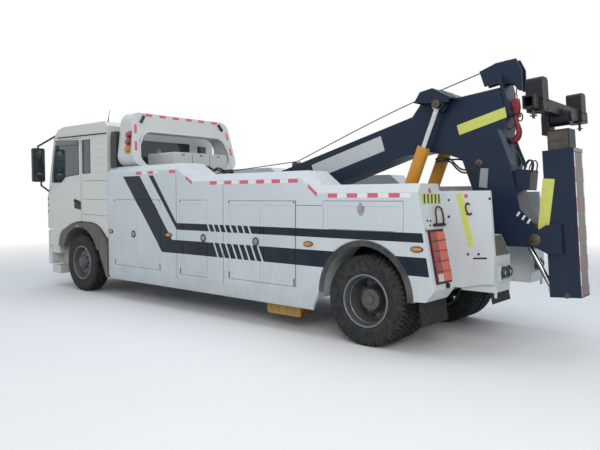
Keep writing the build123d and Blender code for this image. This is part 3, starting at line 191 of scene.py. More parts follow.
STRIPES = (
    # Corners (x, z) of each convex part of the dark livery on the body sides
    ((3.49, 1.353), (-0.762, 1.353), (-0.781, 1.250), (3.49, 1.250)),
    ((3.60, 1.090), (-0.813, 1.090), (-0.850, 0.885), (3.60, 0.885)),
    ((4.94, 2.10), (4.455, 2.10), (3.590, 1.071), (3.590, 0.885), (3.873, 0.885)),
    ((4.207, 2.10), (4.085, 2.10), (3.489, 1.351), (3.490, 1.250)),
)
SLASHES = (
    # x of the first, pitch, how many, low and high z of the row of white slashes
    (1.8905, 0.1205, 8, 1.250, 1.353),
    (1.6835, 0.1276, 8, 0.885, 1.090),
)
SLASH_WIDTH = 0.034
SLASH_LEAN = 0.47
SLASH_OVERHANG = 0.02
LIVERY_FROM = 1.195


def livery(tree):
    """1 on the dark parts of the body sides' livery."""
    spot = add(tree, "TexCoord", out="Object")
    x, y, z = add(tree, "SeparateXYZ", (spot,)).node.outputs
    total = 0.0
    for corners in STRIPES:
        middle = [sum(c[i] for c in corners) / len(corners) for i in (0, 1)]
        part = 1.0
        for (x0, z0), (x1, z1) in zip(corners, corners[1:] + corners[:1]):
            across = Vector((z0 - z1, 0.0, x1 - x0)).normalized()
            level = across.dot(at(x0, 0, z0))
            if across.dot(at(middle[0], 0, middle[1])) < level:
                across, level = -across, -level
            reach = add(tree, "VectorMath DOT_PRODUCT", (spot, across), "Value")
            side = add(tree, "Math GREATER_THAN", (reach, level))
            part = add(tree, "Math MULTIPLY", (part, side))
        total = add(tree, "Math MAXIMUM", (total, part))
    for first, pitch, count, low, high in SLASHES:
        lean = add(tree, "Math MULTIPLY", (add(tree, "Math SUBTRACT", (z, (low + high) / 2)), SLASH_LEAN))
        along = add(tree, "Math SUBTRACT", (add(tree, "Math SUBTRACT", (x, lean)), first + REAR_AXLE))
        turn = add(tree, "Math PINGPONG", (add(tree, "Math DIVIDE", (along, pitch)), 0.5))
        white = add(tree, "Math LESS_THAN", (turn, SLASH_WIDTH / 2 / pitch))
        bounds = ((along, -pitch / 2, (count - 0.5) * pitch),
                  (z, low - SLASH_OVERHANG, high + SLASH_OVERHANG))
        for value, start, end in bounds:
            for test, bound in (("GREATER_THAN", start), ("LESS_THAN", end)):
                white = add(tree, "Math MULTIPLY", (white, add(tree, "Math " + test, (value, bound))))
        total = add(tree, "Math SUBTRACT", (total, add(tree, "Math MULTIPLY", (white, total))))
    outside = add(tree, "Math GREATER_THAN", (add(tree, "Math ABSOLUTE", (y,)), LIVERY_FROM))
    return add(tree, "Math MULTIPLY", (total, outside))


# Finishes

def sprayed_paint(name, colour, gloss=0.35, film=0.45, settled=0.35, dirt=DUST, shine=0.25):
    """Sprayed and oven-dried paint over steel: a soft shine with a faint orange peel, dulled by dirt."""
    material, tree, shader = started(name, Coat_Weight=shine, Coat_Roughness=0.22,
                                     Specular_IOR_Level=0.2 + shine)
    tone = clouded(tree, linear(colour), linear(colour, 0.86), 900, 3.0, (0.3, 0.7, 0.0, 0.35))
    finish_with(tree, shader, tone, (0.0, 1.0, gloss, 0.9), clouds(tree, 7, 2.0), 0.00025,
                dirt_cover(tree, film, settled), dirt)
    return material


def liveried_white(name):
    """White two-pack paint with dark film stripes: an even satin, the film cleaner than the paint."""
    material, tree, shader = started(name, Coat_Weight=0.08, Coat_Roughness=0.2, Specular_IOR_Level=0.2)
    settings = bpy.context.scene.truck
    white = (*settings.body_white, 1.0)
    tone = clouded(tree, white, linear("#bbc4c9"), 1100, 3.0, (0.3, 0.7, 0.0, 0.5))
    dark = livery(tree)
    paint = add(tree, "Mix", {0: dark, 6: tone, 7: (*settings.stripe_blue, 1.0)}, **COLOUR_MIX)
    kept = add(tree, "MapRange", (dark, 0.0, 1.0, 1.0, 0.25))
    cover = add(tree, "Math MULTIPLY", (dirt_cover(tree, 0.40, 0.25), kept))
    finish_with(tree, shader, paint, (0.0, 1.0, 0.34, 0.9), clouds(tree, 9, 2.0), 0.0003, cover)
    return material


def cast_iron(name):
    """Cast iron as the sand mould leaves it, oiled: dark, uneven and hardly shiny."""
    material, tree, shader = started(name, Metallic=0.35)
    shade = clouded(tree, linear("#2b2a29"), linear("#4a433b"), 90, 6.0, (0.35, 0.7))
    finish_with(tree, shader, shade, 0.62, clouds(tree, 5, 3.0), 0.0008)
    return material


def chequer_steel(name):
    """Steel plate rolled with lugs and walked bare: grey, with short crossed bars that catch the light."""
    material, tree, shader = started(name, Metallic=0.45)
    x, y, z = add(tree, "SeparateXYZ", (add(tree, "TexCoord", out="Object"),)).node.outputs
    bars = []
    for slant in ("ADD", "SUBTRACT"):
        # 24 bars to the metre, so each is about 42 mm from the next
        rows = add(tree, "Math MULTIPLY", (add(tree, "Math " + slant, (x, y)), 24.0))
        bars.append(add(tree, "Math PINGPONG", (rows, 0.5)))
    lugs = add(tree, "Math MULTIPLY", (add(tree, "Math LESS_THAN", (bars[0], 0.16)),
                                       add(tree, "Math GREATER_THAN", (bars[1], 0.2))))
    shade = clouded(tree, linear("#7b7d7e"), linear("#5d5953"), 200, 6.0, (0.35, 0.7))
    finish_with(tree, shader, shade, 0.55, lugs, 0.002)
    return material


def polished_chrome(name):
    """Hard chrome, ground and polished: a clear mirror that a wipe of oil blurs in places."""
    material, tree, shader = started(name, Metallic=1.0)
    shade = clouded(tree, linear("#c6cacc"), linear("#a8a8a4"), 60, 3.0, (0.4, 0.7))
    finish_with(tree, shader, shade, clouds(tree, 25, 3.0, (0.3, 0.7, 0.12, 0.26)))
    return material


def moulded_rubber(name, colour="#1a1d20"):
    """Vulcanised rubber: matt black with brown-grey mud dried in its pores."""
    material, tree, shader = started(name, Specular_IOR_Level=0.3)
    finish_with(tree, shader, linear(colour), (0.0, 0.45, 0.66, 0.9), clouds(tree, 4, 3.0), 0.0006,
                clouds(tree, 70, 6.0, (0.38, 0.72, 0.0, 0.45)), "#56524b")
    return material


def moulded_plastic(name, colour, film=0.4):
    """Injection moulded plastic: a fine even grain with a dull sheen, greyed by dust."""
    material, tree, shader = started(name, Specular_IOR_Level=0.4)
    finish_with(tree, shader, linear(colour), (0.0, 1.0, 0.5, 0.9), clouds(tree, 2.5, 2.0), 0.0003,
                dirt_cover(tree, film, 0.3))
    return material


def tinted_glass(name):
    """Toughened float glass: a green-grey tint and a sharp shine with faint smears."""
    material, tree, shader = started(name, IOR=1.45, Transmission_Weight=0.55, Coat_Weight=0.4)
    shade = clouded(tree, linear("#3f5f60"), linear("#34494c"), 500, 4.0, (0.35, 0.7))
    finish_with(tree, shader, shade, clouds(tree, 160, 4.0, (0.3, 0.7, 0.05, 0.14)))
    return material


def woven_cloth(name):
    """Flat woven seat cloth: fine ribs, no shine, a little fuzz at its edges."""
    material, tree, shader = started(name, Sheen_Weight=0.25)
    weave = add(tree, "TexWave", {"Vector": add(tree, "TexCoord", out="Object"), "Scale": 180.0}, "Fac")
    shade = clouded(tree, linear("#3c4047"), linear("#4a4d52"), 40, 4.0, (0.35, 0.7))
    finish_with(tree, shader, shade, 0.9, weave, 0.0006)
    return material


def lamp_plastic(name, colour, other=None, axis="Z", level=0.0):
    """Moulded lamp plastic under a clear coat: glossy, with the dark lines of prisms cast on its inside."""
    material, tree, shader = started(name, Coat_Weight=0.8, Coat_Roughness=0.05)
    spot = add(tree, "TexCoord", out="Object")
    base = linear(colour)
    if other:
        reach = add(tree, "Math ABSOLUTE", (add(tree, "SeparateXYZ", (spot,), axis),))
        beyond = add(tree, "Math GREATER_THAN", (reach, level))
        base = add(tree, "Mix", {0: beyond, 6: base, 7: linear(other)}, **COLOUR_MIX)
    prisms = add(tree, "TexBrick", {"Vector": spot, "Scale": 30.0}, "Fac")
    dark = add(tree, "Mix", {0: 0.45, 6: base, 7: linear("#000000")}, **COLOUR_MIX)
    lines = add(tree, "Math MULTIPLY", (prisms, 0.8))
    shade = add(tree, "Mix", {0: lines, 6: base, 7: dark}, **COLOUR_MIX)
    finish_with(tree, shader, shade, 0.22, prisms, 0.0008)
    return material


def prism_sheet(name, colour):
    """Retroreflective sheet pressed with small prisms, which give it a fine bright grain."""
    material, tree, shader = started(name, Coat_Weight=0.6, Coat_Roughness=0.12)
    # The real prisms are 0.2 mm. They are drawn 8 mm wide so that the grain shows.
    cells = add(tree, "TexVoronoi", {"Vector": add(tree, "TexCoord", out="Object"), "Scale": 125.0},
                "Distance", feature="DISTANCE_TO_EDGE")
    edge = add(tree, "MapRange", (cells, 0.0, 0.12, 0.30, 0.0))
    shade = add(tree, "Mix", {0: edge, 6: linear(colour), 7: (0.8, 0.8, 0.8, 1.0)}, **COLOUR_MIX)
    finish_with(tree, shader, shade, 0.3, cells, 0.0004, road_film(tree, 0.22))
    return material


def sign_sheet(name, colour):
    """Aluminium sheet with a printed film: flat colour gone dull and grey in spots from weather."""
    material, tree, shader = started(name, Coat_Weight=0.2, Coat_Roughness=0.3)
    worn = clouds(tree, 45, 6.0, (0.52, 0.74, 0.0, 0.35))
    cover = add(tree, "Math MAXIMUM", (worn, road_film(tree, 0.25, 3.2)))
    finish_with(tree, shader, linear(colour), 0.42, clouds(tree, 12, 3.0), 0.0003, cover)
    return material


def plated_steel(name, colour="#a9adb0", rust=0.12, gloss=0.36):
    """Zinc plated steel: a mottled grey bloom that turns to brown rust in patches."""
    material, tree, shader = started(name, Metallic=0.75)
    patches = clouds(tree, 38, 7.0, (0.62 - rust, 0.80 - rust))
    tone = clouded(tree, linear(colour), linear(colour, 0.6), 9, 4.0, (0.35, 0.7))
    rough = add(tree, "MapRange", (patches, 0.0, 1.0, gloss, 0.85))
    cover = add(tree, "Math MULTIPLY", (patches, min(1.0, rust * 4)))
    finish_with(tree, shader, tone, rough, clouds(tree, 3, 4.0), 0.0004, cover, "#6a3d22")
    return material


def greased_steel(name):
    """Sliding steel under dark grease: wet brown-black smears with grit in them."""
    material, tree, shader = started(name, Metallic=0.3, Coat_Weight=0.5, Coat_Roughness=0.35)
    shade = clouded(tree, linear("#2a241f"), linear("#4d443a"), 55, 6.0, (0.36, 0.7), (0.4, 1.0, 1.0))
    finish_with(tree, shader, shade, 0.42, clouds(tree, 6, 4.0), 0.0008)
    return material


def mirror_glass(name):
    """Silvered float glass: a sharp mirror, dulled where dust has dried on it."""
    material, tree, shader = started(name, Metallic=1.0)
    finish_with(tree, shader, linear("#5d666c"), (0.0, 0.25, 0.03, 0.3),
                cover=clouds(tree, 60, 5.0, (0.4, 0.8, 0.0, 0.25)))
    return material


def smoked_acrylic(name):
    """Bent acrylic sheet, smoked brown: dark, see-through and glossy."""
    material, tree, shader = started(name, IOR=1.49, Transmission_Weight=0.7, Coat_Weight=0.5)
    shade = clouded(tree, linear("#2d2a27"), linear("#45413c"), 80, 4.0)
    finish_with(tree, shader, shade, clouds(tree, 30, 4.0, (0.3, 0.7, 0.06, 0.2)))
    return material


def gritted_plate(name):
    """Steel sheet with grit rolled into its paint: a rough grey skin that hardly shines."""
    material, tree, shader = started(name, Metallic=0.3)
    # The real grit is 1 mm. It is drawn 5 mm wide so that it shows.
    spot = add(tree, "TexCoord", out="Object")
    grit = add(tree, "TexVoronoi", {"Vector": spot, "Scale": 200.0}, "Distance")
    shade = add(tree, "Mix", {0: grit, 6: linear("#7d7f7c"), 7: linear("#4b4843")}, **COLOUR_MIX)
    finish_with(tree, shader, shade, 0.8, grit, 0.0012, road_film(tree, 0.6), ROAD_GREY)
    return material


LENS_SPLIT = 1.046
BEACON_SPLIT = 2.62
PAINT_GREY = "#6b6862"
FINISHES = {
    # Name: the record's slot that it belongs to, how it is made, and of what
    "body_white": ("body_white", liveried_white),
    "cab_white": ("cab_white", sprayed_paint, "#cfd2cf", 0.3, 0.35, 0.2),
    "box_white": ("body_white", sprayed_paint, "#c9cdcc", 0.4, 0.25, 0.4),
    "chassis_paint": ("chassis_paint", sprayed_paint, "#2a2c2e", 0.55, 0.9, 0.6, ROAD_GREY),
    "winch_paint": ("winch_paint", sprayed_paint, "#1d2227", 0.5, 0.2, 0.3, DUST, 0.05),
    "boom_navy": ("boom_navy", sprayed_paint, "#14243a", 0.40, 0.07, 0.22, "#6f767b", 0.05),
    "flange_navy": ("boom_navy", sprayed_paint, "#3a4655", 0.5, 0.3, 0.4, "#8a8d8e"),
    "cylinder_yellow": ("cylinder_yellow", sprayed_paint, "#d0901e", 0.4, 0.35, 0.3),
    "mustard_paint": ("cylinder_yellow", sprayed_paint, "#b98a28", 0.6, 0.8, 0.6, ROAD_GREY),
    "wheel_paint": ("wheel_paint", sprayed_paint, "#3d4248", 0.5, 0.5, 0.1, ROAD_GREY),
    "crosshead_paint": ("cast_steel", sprayed_paint, "#171b20", 0.5, 0.22, 0.3, PAINT_GREY, 0.05),
    "pipe_paint": ("winch_paint", sprayed_paint, "#2c343d", 0.5, 0.2, 0.3, PAINT_GREY, 0.1),
    "hook_red": ("lamp_lens", sprayed_paint, "#8c1f2c", 0.5, 0.3, 0.3),
    "engine_iron": ("engine_iron", cast_iron),
    "cast_steel": ("cast_steel", cast_iron),
    "zinc_steel": ("rod_chrome", plated_steel),
    # The rim edge rings are light blue-grey: partly worn bare metal, partly a painted highlight on the rim
    # lip.
    "rim_edge": ("wheel_paint", plated_steel, "#8e99a4", 0.05, 0.45),
    "wire_rope": ("rod_chrome", plated_steel, "#6d7073", 0.10, 0.42),
    "rusty_steel": ("cast_steel", plated_steel, "#5a4b40", 0.30, 0.7),
    "greased_steel": ("cast_steel", greased_steel),
    "gritted_plate": ("deck_steel", gritted_plate),
    "deck_steel": ("deck_steel", chequer_steel),
    "rod_chrome": ("rod_chrome", polished_chrome),
    "tyre_rubber": ("tyre_rubber", moulded_rubber),
    "black_rubber": ("tyre_rubber", moulded_rubber, "#131517"),
    "fender_plastic": ("fender_plastic", moulded_plastic, "#4c4945", 0.8),
    "lip_rubber": ("fender_plastic", moulded_plastic, "#2b2c2d", 0.6),
    "cab_trim": ("cab_trim", moulded_plastic, "#23272b"),
    "black_plastic": ("cab_trim", moulded_plastic, "#15181b", 0.25),
    "window_glass": ("window_glass", tinted_glass),
    "mirror_glass": ("window_glass", mirror_glass),
    "smoked_acrylic": ("window_glass", smoked_acrylic),
    "seat_cloth": ("seat_cloth", woven_cloth),
    "clear_lens": ("lamp_lens", lamp_plastic, "#c9ccd0"),
    "red_lens": ("lamp_lens", lamp_plastic, "#8a1f2c"),
    "amber_lens": ("lamp_lens", lamp_plastic, "#c77a20"),
    "tail_lens": ("lamp_lens", lamp_plastic, "#d7592d", "#8f1c2c", "Y", LENS_SPLIT),
    "beacon_lens": ("lamp_lens", lamp_plastic, "#c77a20", "#8a1f2c", "Z", BEACON_SPLIT),
    "tape_red": ("lamp_lens", prism_sheet, "#c8234a"),
    "tape_white": ("body_white", prism_sheet, "#dfe2e4"),
    "plate_yellow": ("body_white", sign_sheet, "#c8d060"),
    "plate_white": ("body_white", sign_sheet, "#c2c8cc"),
    "plate_black": ("cab_trim", sign_sheet, "#17191b"),
    "plate_grey": ("body_white", sign_sheet, "#8d949a"),
}
MADE = {}


def finish(name):
    """A finish by its name, made the first time it is asked for."""
    if name not in MADE:
        slot, make, *details = FINISHES[name]
        MADE[name] = make("truck_" + name, *details)
    return MADE[name]


# Mesh building

def turns(count, start=0.0):
    """Angles at even steps round a full turn."""
    return [start + 2 * math.pi * k / count for k in range(count)]


def circle(middle, axis, radius, steps=32, turn=0.0):
    """Points round an axis."""
    axis = Vector(axis).normalized()
    side = axis.orthogonal().normalized()
    other = axis.cross(side)
    return [Vector(middle) + radius * (math.cos(t) * side + math.sin(t) * other) for t in turns(steps, turn)]


class Shape:
    """A mesh that is built up from simple forms, in the truck's own frame."""

    def __init__(self):
        self.mesh = bmesh.new()

    def skin(self, rings, loop=False):
        """Faces between rings of points. The ends are filled, or joined to each other if loop is set."""
        rows = [[self.mesh.verts.new(point) for point in ring] for ring in rings]
        count = len(rows[0])
        for a, b in zip(rows, rows[1:] + (rows[:1] if loop else [])):
            for i in range(count):
                j = (i + 1) % count
                self.mesh.faces.new((a[i], a[j], b[j], b[i]))
        if not loop:
            self.mesh.faces.new(rows[0][::-1])
            self.mesh.faces.new(rows[-1])
        return self

    def block(self, low, high):
        """A box between two corners."""
        (x0, y0, z0), (x1, y1, z1) = low, high
        return self.skin([[(x0, y0, z), (x1, y0, z), (x1, y1, z), (x0, y1, z)] for z in (z0, z1)])

    def slab(self, outline, y0, y1):
        """A side outline of (x, z) points from the rear axle, made solid from y0 to y1."""
        return self.skin([beside(y, outline) for y in (y0, y1)])

    def tube(self, points, radius, sides=12, closed=False):
        """A round tube along points, with one radius or one for each point."""
        points = [Vector(p) for p in points]
        radii = radius if isinstance(radius, (list, tuple)) else [radius] * len(points)
        last = len(points) - 1
        before = None
        rings = []
        for i, point in enumerate(points):
            ahead = points[(i + 1) % len(points)] if closed else points[min(i + 1, last)]
            behind = points[i - 1] if closed else points[max(i - 1, 0)]
            along = (ahead - behind).normalized()
            if before is None:
                before = along.orthogonal().normalized()
            before = (before - before.dot(along) * along).normalized()
            other = along.cross(before)
            rings.append([point + radii[i] * (math.cos(t) * before + math.sin(t) * other)
                          for t in turns(sides)])
        return self.skin(rings, closed)

    def hoop(self, middle, long, high, thick, steps=20, sides=8):
        """A round rod of a radius bent into an ellipse with two half axes."""
        long, high = Vector(long), Vector(high)
        return self.tube([Vector(middle) + math.cos(t) * long + math.sin(t) * high for t in turns(steps)],
                         thick, sides, closed=True)

    def turned(self, profile, middle, axis, steps=32, turn=0.0, loop=False):
        """A turned form, from a profile of (distance along the axis, radius) points.

        With loop set, the profile is a closed section.
        """
        axis = Vector(axis).normalized()
        return self.skin([circle(Vector(middle) + along * axis, axis, max(radius, 1e-5), steps, turn)
                          for along, radius in profile], loop)

    def oval(self, middle, long, high, profile, steps=28):
        """A form over an ellipse with two half axes, from (height, share of the ellipse) points."""
        long, high = Vector(long), Vector(high)
        out = long.cross(high).normalized()
        return self.skin([[Vector(middle) + rise * out + share * (math.cos(t) * long + math.sin(t) * high)
                           for t in turns(steps)] for rise, share in profile])

    def bolt(self, foot, direction, across, tall):
        """A hexagon head on a round washer."""
        r = across / 2
        self.turned([(0, r * 1.5), (tall * 0.2, r * 1.5), (tall * 0.25, r * 1.4)], foot, direction, 20)
        return self.turned([(0, r), (tall * 0.85, r), (tall, r * 0.82)], foot, direction, 6)

    def plate(self, corners, thick, towards, sunk=0.001):
        """A thin plate whose corners lie on a surface that faces roughly towards a direction."""
        corners = [Vector(c) for c in corners]
        out = (corners[1] - corners[0]).cross(corners[2] - corners[1]).normalized()
        if out.dot(Vector(towards)) < 0:
            out = -out
        return self.skin([[c - sunk * out for c in corners], [c + thick * out for c in corners]])

    def mirror(self):
        """Add the same again on the other side of the truck."""
        everything = self.mesh.verts[:] + self.mesh.edges[:] + self.mesh.faces[:]
        copy = bmesh.ops.duplicate(self.mesh, geom=everything)["geom"]
        verts = [part for part in copy if isinstance(part, bmesh.types.BMVert)]
        bmesh.ops.scale(self.mesh, vec=(1, -1, 1), verts=verts)
        return self

    def piece(self, name, paint, body=None, bevel=0.0, smooth=35.0):
        """Turn the shape into a named piece with a finish, riding on a body if one is given."""
        bmesh.ops.recalc_face_normals(self.mesh, faces=self.mesh.faces)
        data = bpy.data.meshes.new(name)
        self.mesh.to_mesh(data)
        self.mesh.free()
        data.polygons.foreach_set("use_smooth", [True] * len(data.polygons))
        data.set_sharp_from_angle(angle=math.radians(smooth))
        data.materials.append(finish(paint))
        thing = bpy.data.objects.new(name, data)
        bpy.context.scene.collection.objects.link(thing)
        if bevel:
            soften(thing, bevel)
        if body:
            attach(thing, body)
        return thing


def soften(thing, width, segments=2, angle=35.0):
    """Round an object's hard edges by a small width."""
    edge = thing.modifiers.new("edges", "BEVEL")
    edge.width = width
    edge.segments = segments
    edge.limit_method = "ANGLE"
    edge.angle_limit = math.radians(angle)
    edge.harden_normals = True


# Settings

class TruckSettings(bpy.types.PropertyGroup):
    """Sizes and colours that a user would change."""

    edge_round: bpy.props.FloatProperty(
        name="Edge rounding", description="Width of the rounding on pressed and welded edges",
        default=0.003, unit="LENGTH")
    rope_diameter: bpy.props.FloatProperty(
        name="Rope diameter", description="Diameter of the winch's wire rope", default=0.016, unit="LENGTH")
    body_white: bpy.props.FloatVectorProperty(
        name="Body paint", description="Colour of the lockers and the other body panels",
        default=linear("#cbd3d8")[:3], min=0.0, max=1.0, subtype="COLOR")
    stripe_blue: bpy.props.FloatVectorProperty(
        name="Stripes", description="Colour of the film stripes on the body's sides",
        default=linear("#0b1929")[:3], min=0.0, max=1.0, subtype="COLOR")


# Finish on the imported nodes

NODE_FINISHES = (
    # Start of the node's name, finish, edge rounding as a share of the setting
    ("chassis_frame", "chassis_paint", 1.0),
    ("engine_block", "engine_iron", 1.0),
    ("front_axle", "chassis_paint", 1.0),
    ("rear_axle", "chassis_paint", 0.0),
    ("subframe", "boom_navy", 1.0),
    ("deck", "deck_steel", 1.0),
    ("headboard", "box_white", 1.5),
    ("equipment_box", "box_white", 1.0),
    ("winch_frame", "winch_paint", 1.0),
    ("winch_drum", "winch_paint", 1.0),
    ("air_intake", "cab_trim", 1.5),
    ("front_bumper", "cab_white", 1.5),
    ("front_fenders", "fender_plastic", 1.0),
    ("head_lamps", "clear_lens", 1.0),
    ("tail_lamps", "tail_lens", 1.0),
    ("beacons", "beacon_lens", 0.5),
    ("arch_lips", "lip_rubber", 0.5),
    ("cab_shell", "cab_white", 1.5),
    ("cab_door", "cab_white", 1.0),
    ("cab_glass", "window_glass", 0.0),
    ("door_glass", "window_glass", 0.0),
    ("cab_seats", "seat_cloth", 4.0),
    ("dashboard", "cab_trim", 1.5),
    ("mirrors", "cab_trim", 1.5),
    ("locker_body", "body_white", 1.0),
    ("locker_door", "body_white", 0.8),
    ("wheel_locker_flap", "body_white", 0.8),
    ("boom_main", "boom_navy", 1.2),
    ("boom_inner", "boom_navy", 1.2),
    ("sheave", "cast_steel", 0.5),
    ("lift_barrels", "cylinder_yellow", 0.5),
    ("lift_rods", "rod_chrome", 0.0),
    ("fold_barrel", "boom_navy", 0.5),
    ("fold_piston", "rod_chrome", 0.0),
    ("stinger_inner", "crosshead_paint", 1.0),
    ("stinger", "boom_navy", 1.0),
    ("crosshead", "crosshead_paint", 1.2),
    ("knuckle", "chassis_paint", 0.5),
    ("front_tyre", "tyre_rubber", 0.0),
    ("rear_tyres", "tyre_rubber", 0.0),
    ("front_rim", "wheel_paint", 0.0),
    ("rear_rims", "wheel_paint", 0.0),
)
WELD_WITHIN = 0.00005
FLAT_WITHIN = 0.6
SHARP_FROM = 35


class PaintNodes(bpy.types.Operator):
    """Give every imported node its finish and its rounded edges"""

    bl_idname = "truck.paint_nodes"
    bl_label = "Paint the packed nodes"

    def execute(self, context):
        width = context.scene.truck.edge_round
        for name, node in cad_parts.items():
            rows = [row for row in NODE_FINISHES if name.startswith(row[0])]
            if not rows:
                raise RuntimeError(f"no finish is given for {name}")
            start, paint, share = max(rows, key=lambda row: len(row[0]))
            node.data.materials.clear()
            node.data.materials.append(finish(paint))
            node.data.polygons.foreach_set("use_smooth", [True] * len(node.data.polygons))
            if "custom_normal" in node.data.attributes:
                node.data.attributes.remove(node.data.attributes["custom_normal"])
            node.modifiers.new("weld", "WELD").merge_threshold = WELD_WITHIN
            if share:
                flat = node.modifiers.new("flat faces", "DECIMATE")
                flat.decimate_type = "DISSOLVE"
                flat.angle_limit = math.radians(FLAT_WITHIN)
                soften(node, width * share)
            else:
                split = node.modifiers.new("sharp edges", "EDGE_SPLIT")
                split.split_angle = math.radians(SHARP_FROM)
        return {"FINISHED"}


# Places on the truck

OUT = Vector((0, 1, 0))
REARWARDS = Vector((-1, 0, 0))
UP = Vector((0, 0, 1))
BOOM_PIVOT = (3.600, 1.600)
BOOM_SLOPE = math.radians(15)
STINGER_HINGE = (-1.580, 1.262)
STINGER_LEAN = math.radians(4)
PORTAL_LOW, PORTAL_TALL = 2.275, 0.935


def boom_point(along, above, y=0.0):
    """A point on the boom, from its pivot: along it towards the rear, and above its middle line."""
    x, z = BOOM_PIVOT
    return at(x - along * math.cos(BOOM_SLOPE) + above * math.sin(BOOM_SLOPE), y,
              z + along * math.sin(BOOM_SLOPE) + above * math.cos(BOOM_SLOPE))


def stinger_point(up, back, y=0.0):
    """A point on the folded underlift, from its hinge: up along it, and back from it."""
    x, z = STINGER_HINGE
    return at(x + up * math.sin(STINGER_LEAN) - back * math.cos(STINGER_LEAN), y,
              z + up * math.cos(STINGER_LEAN) + back * math.sin(STINGER_LEAN))


def tail_point(y, z, out=0.0):
    """A point on the leaned rear face of the body."""
    return at(-0.915 + (z - 0.745) / 1.147 * 0.230 - out, y, z)


def tail_patch(near, far, low, high, out=0.0):
    """Four corners of an upright rectangle on the body's rear face."""
    return [tail_point(y, z, out) for y, z in ((near, low), (far, low), (far, high), (near, high))]


def head_point(y, z, out=0.0):
    """A point on the headboard's leaned rear face."""
    return at(4.730 + (z - PORTAL_LOW) / PORTAL_TALL * 0.200 - out, y, z)


def portal_half(z):
    """Half the headboard's width at a height."""
    return 1.080 + (PORTAL_LOW + PORTAL_TALL - z) / PORTAL_TALL * 0.115


TOP_LINE = ((9.0, 2.170), (3.430, 2.170), (3.090, 1.977), (0.930, 1.977), (0.680, 1.787), (-9.0, 1.787))


def side_top(x):
    """How high the upper edge of the body's side is, less the margin above the tape."""
    for (x0, z0), (x1, z1) in zip(TOP_LINE, TOP_LINE[1:]):
        if x1 <= x <= x0:
            return z0 + (x0 - x) / (x0 - x1) * (z1 - z0)
    raise ValueError(f"the body's side has no edge at {x}")


# Tyres

TREAD_BLOCKS = 54
TREAD_FOOT = 0.020
TYRE_WIDTH = 0.290
TREAD_RIBS = (
    # Middle across the tyre, half width, shift round the tyre as a share of the pitch
    (-0.0975, 0.0200, 0.0), (-0.0510, 0.0180, 0.5), (0.0, 0.0200, 0.0), (0.0510, 0.0180, 0.5),
    (0.0975, 0.0200, 0.0),
)
TYRE_FLANK = (
    # Half of the section: distance from the tyre's middle plane, and radius
    (0.108, 0.296), (0.130, 0.303), (0.139, 0.330), (0.1425, 0.352), (0.1450, 0.356), (0.1450, 0.372),
    (0.1430, 0.376), (0.1450, 0.420), (0.1440, 0.452), (0.1415, 0.472), (0.1360, 0.496), (0.1260, 0.511),
)
SHOULDER_LUG = (
    # Section of a lug on the tyre's shoulder, as the flank's
    (0.112, 0.508), (0.1175, 0.5335), (0.1330, 0.5200), (0.1440, 0.4860), (0.1400, 0.4760), (0.1240, 0.5000),
)


def tyre(shape, middle):
    """One tyre: its case, its tread blocks and the lugs on its shoulders."""
    crown = TYRE_RADIUS - TREAD_FOOT
    case = [*TYRE_FLANK, (0.100, crown), (-0.100, crown), *((-y, r) for y, r in reversed(TYRE_FLANK))]
    shape.turned(case, middle, OUT, 108, loop=True)
    pitch = 2 * math.pi / TREAD_BLOCKS

    def rim_point(turn, y, radius):
        return middle + Vector((radius * math.cos(turn), y, radius * math.sin(turn)))

    for across, half, shift in TREAD_RIBS:
        ends = ((-half, 0.10), (half, 0.24), (half, 0.98), (-half, 0.84))
        for k in range(TREAD_BLOCKS):
            start = (k + shift) * pitch
            foot = [rim_point(start + share * pitch, across + y, crown - 0.006) for y, share in ends]
            top = [rim_point(start + (0.54 + (share - 0.54) * 0.94) * pitch, across + y * 0.92, TYRE_RADIUS)
                   for y, share in ends]
            shape.skin([foot, top])
    for side in (1, -1):
        for k in range(TREAD_BLOCKS):
            shape.skin([[rim_point((k + share) * pitch, side * y, r) for y, r in SHOULDER_LUG]
                        for share in (0.16, 0.78)])


class FitTyres(bpy.types.Operator):
    """Put treaded tyres on the rims"""

    bl_idname = "truck.fit_tyres"
    bl_label = "Tyres"

    def execute(self, context):
        for side, sign in SIDES:
            front = Shape()
            tyre(front, centre(f"front_tyre_{side}"))
            thing = front.piece(f"treaded_front_tyre_{side}", "tyre_rubber", f"front_wheel_{side}", smooth=28)
            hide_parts(f"front_tyre_{side}")
            twins = Shape()
            low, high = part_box(f"rear_tyres_{side}")
            for edge in (low.y + TYRE_WIDTH / 2, high.y - TYRE_WIDTH / 2):
                tyre(twins, Vector((REAR_AXLE, edge, AXLE_HEIGHT)))
            thing = twins.piece(f"treaded_rear_tyres_{side}", "tyre_rubber", f"rear_wheels_{side}", smooth=28)
            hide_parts(f"rear_tyres_{side}")
        return {"FINISHED"}


# Wheel fittings

WHEEL_NUTS = 10
NUT_ACROSS, NUT_TALL, STUD = 0.033, 0.024, 0.0105
CAP_BOLTS = 8
VALVE_TURN = 0.6
RIM_EDGE = ((-0.012, 0.3000), (0.002, 0.2985), (0.006, 0.3020), (0.006, 0.3090), (0.002, 0.3125),
            (-0.012, 0.3110))
RIM_BEAD = ((-0.020, 0.270), (-0.016, 0.266), (-0.012, 0.270))
WHEELS = (
    # Kind, body, middle, disc face, nut radius, lip, hub face, cap's profile, cap bolts' foot and radius
    ("front", "front_wheel", FRONT_AXLE, 1.113, 0.1675, 1.190, 1.170,
     ((-0.004, 0.113), (0.004, 0.110), (0.022, 0.099), (0.034, 0.070), (0.041, 0.040), (0.043, 0.0)),
     0.0, 0.124),
    ("rear", "rear_wheels", REAR_AXLE, 0.929, 0.2050, 1.215, 1.095,
     ((-0.004, 0.123), (0.012, 0.123), (0.014, 0.117), (0.014, 0.060), (0.030, 0.054), (0.034, 0.046),
      (0.034, 0.0)), 0.014, 0.100),
)


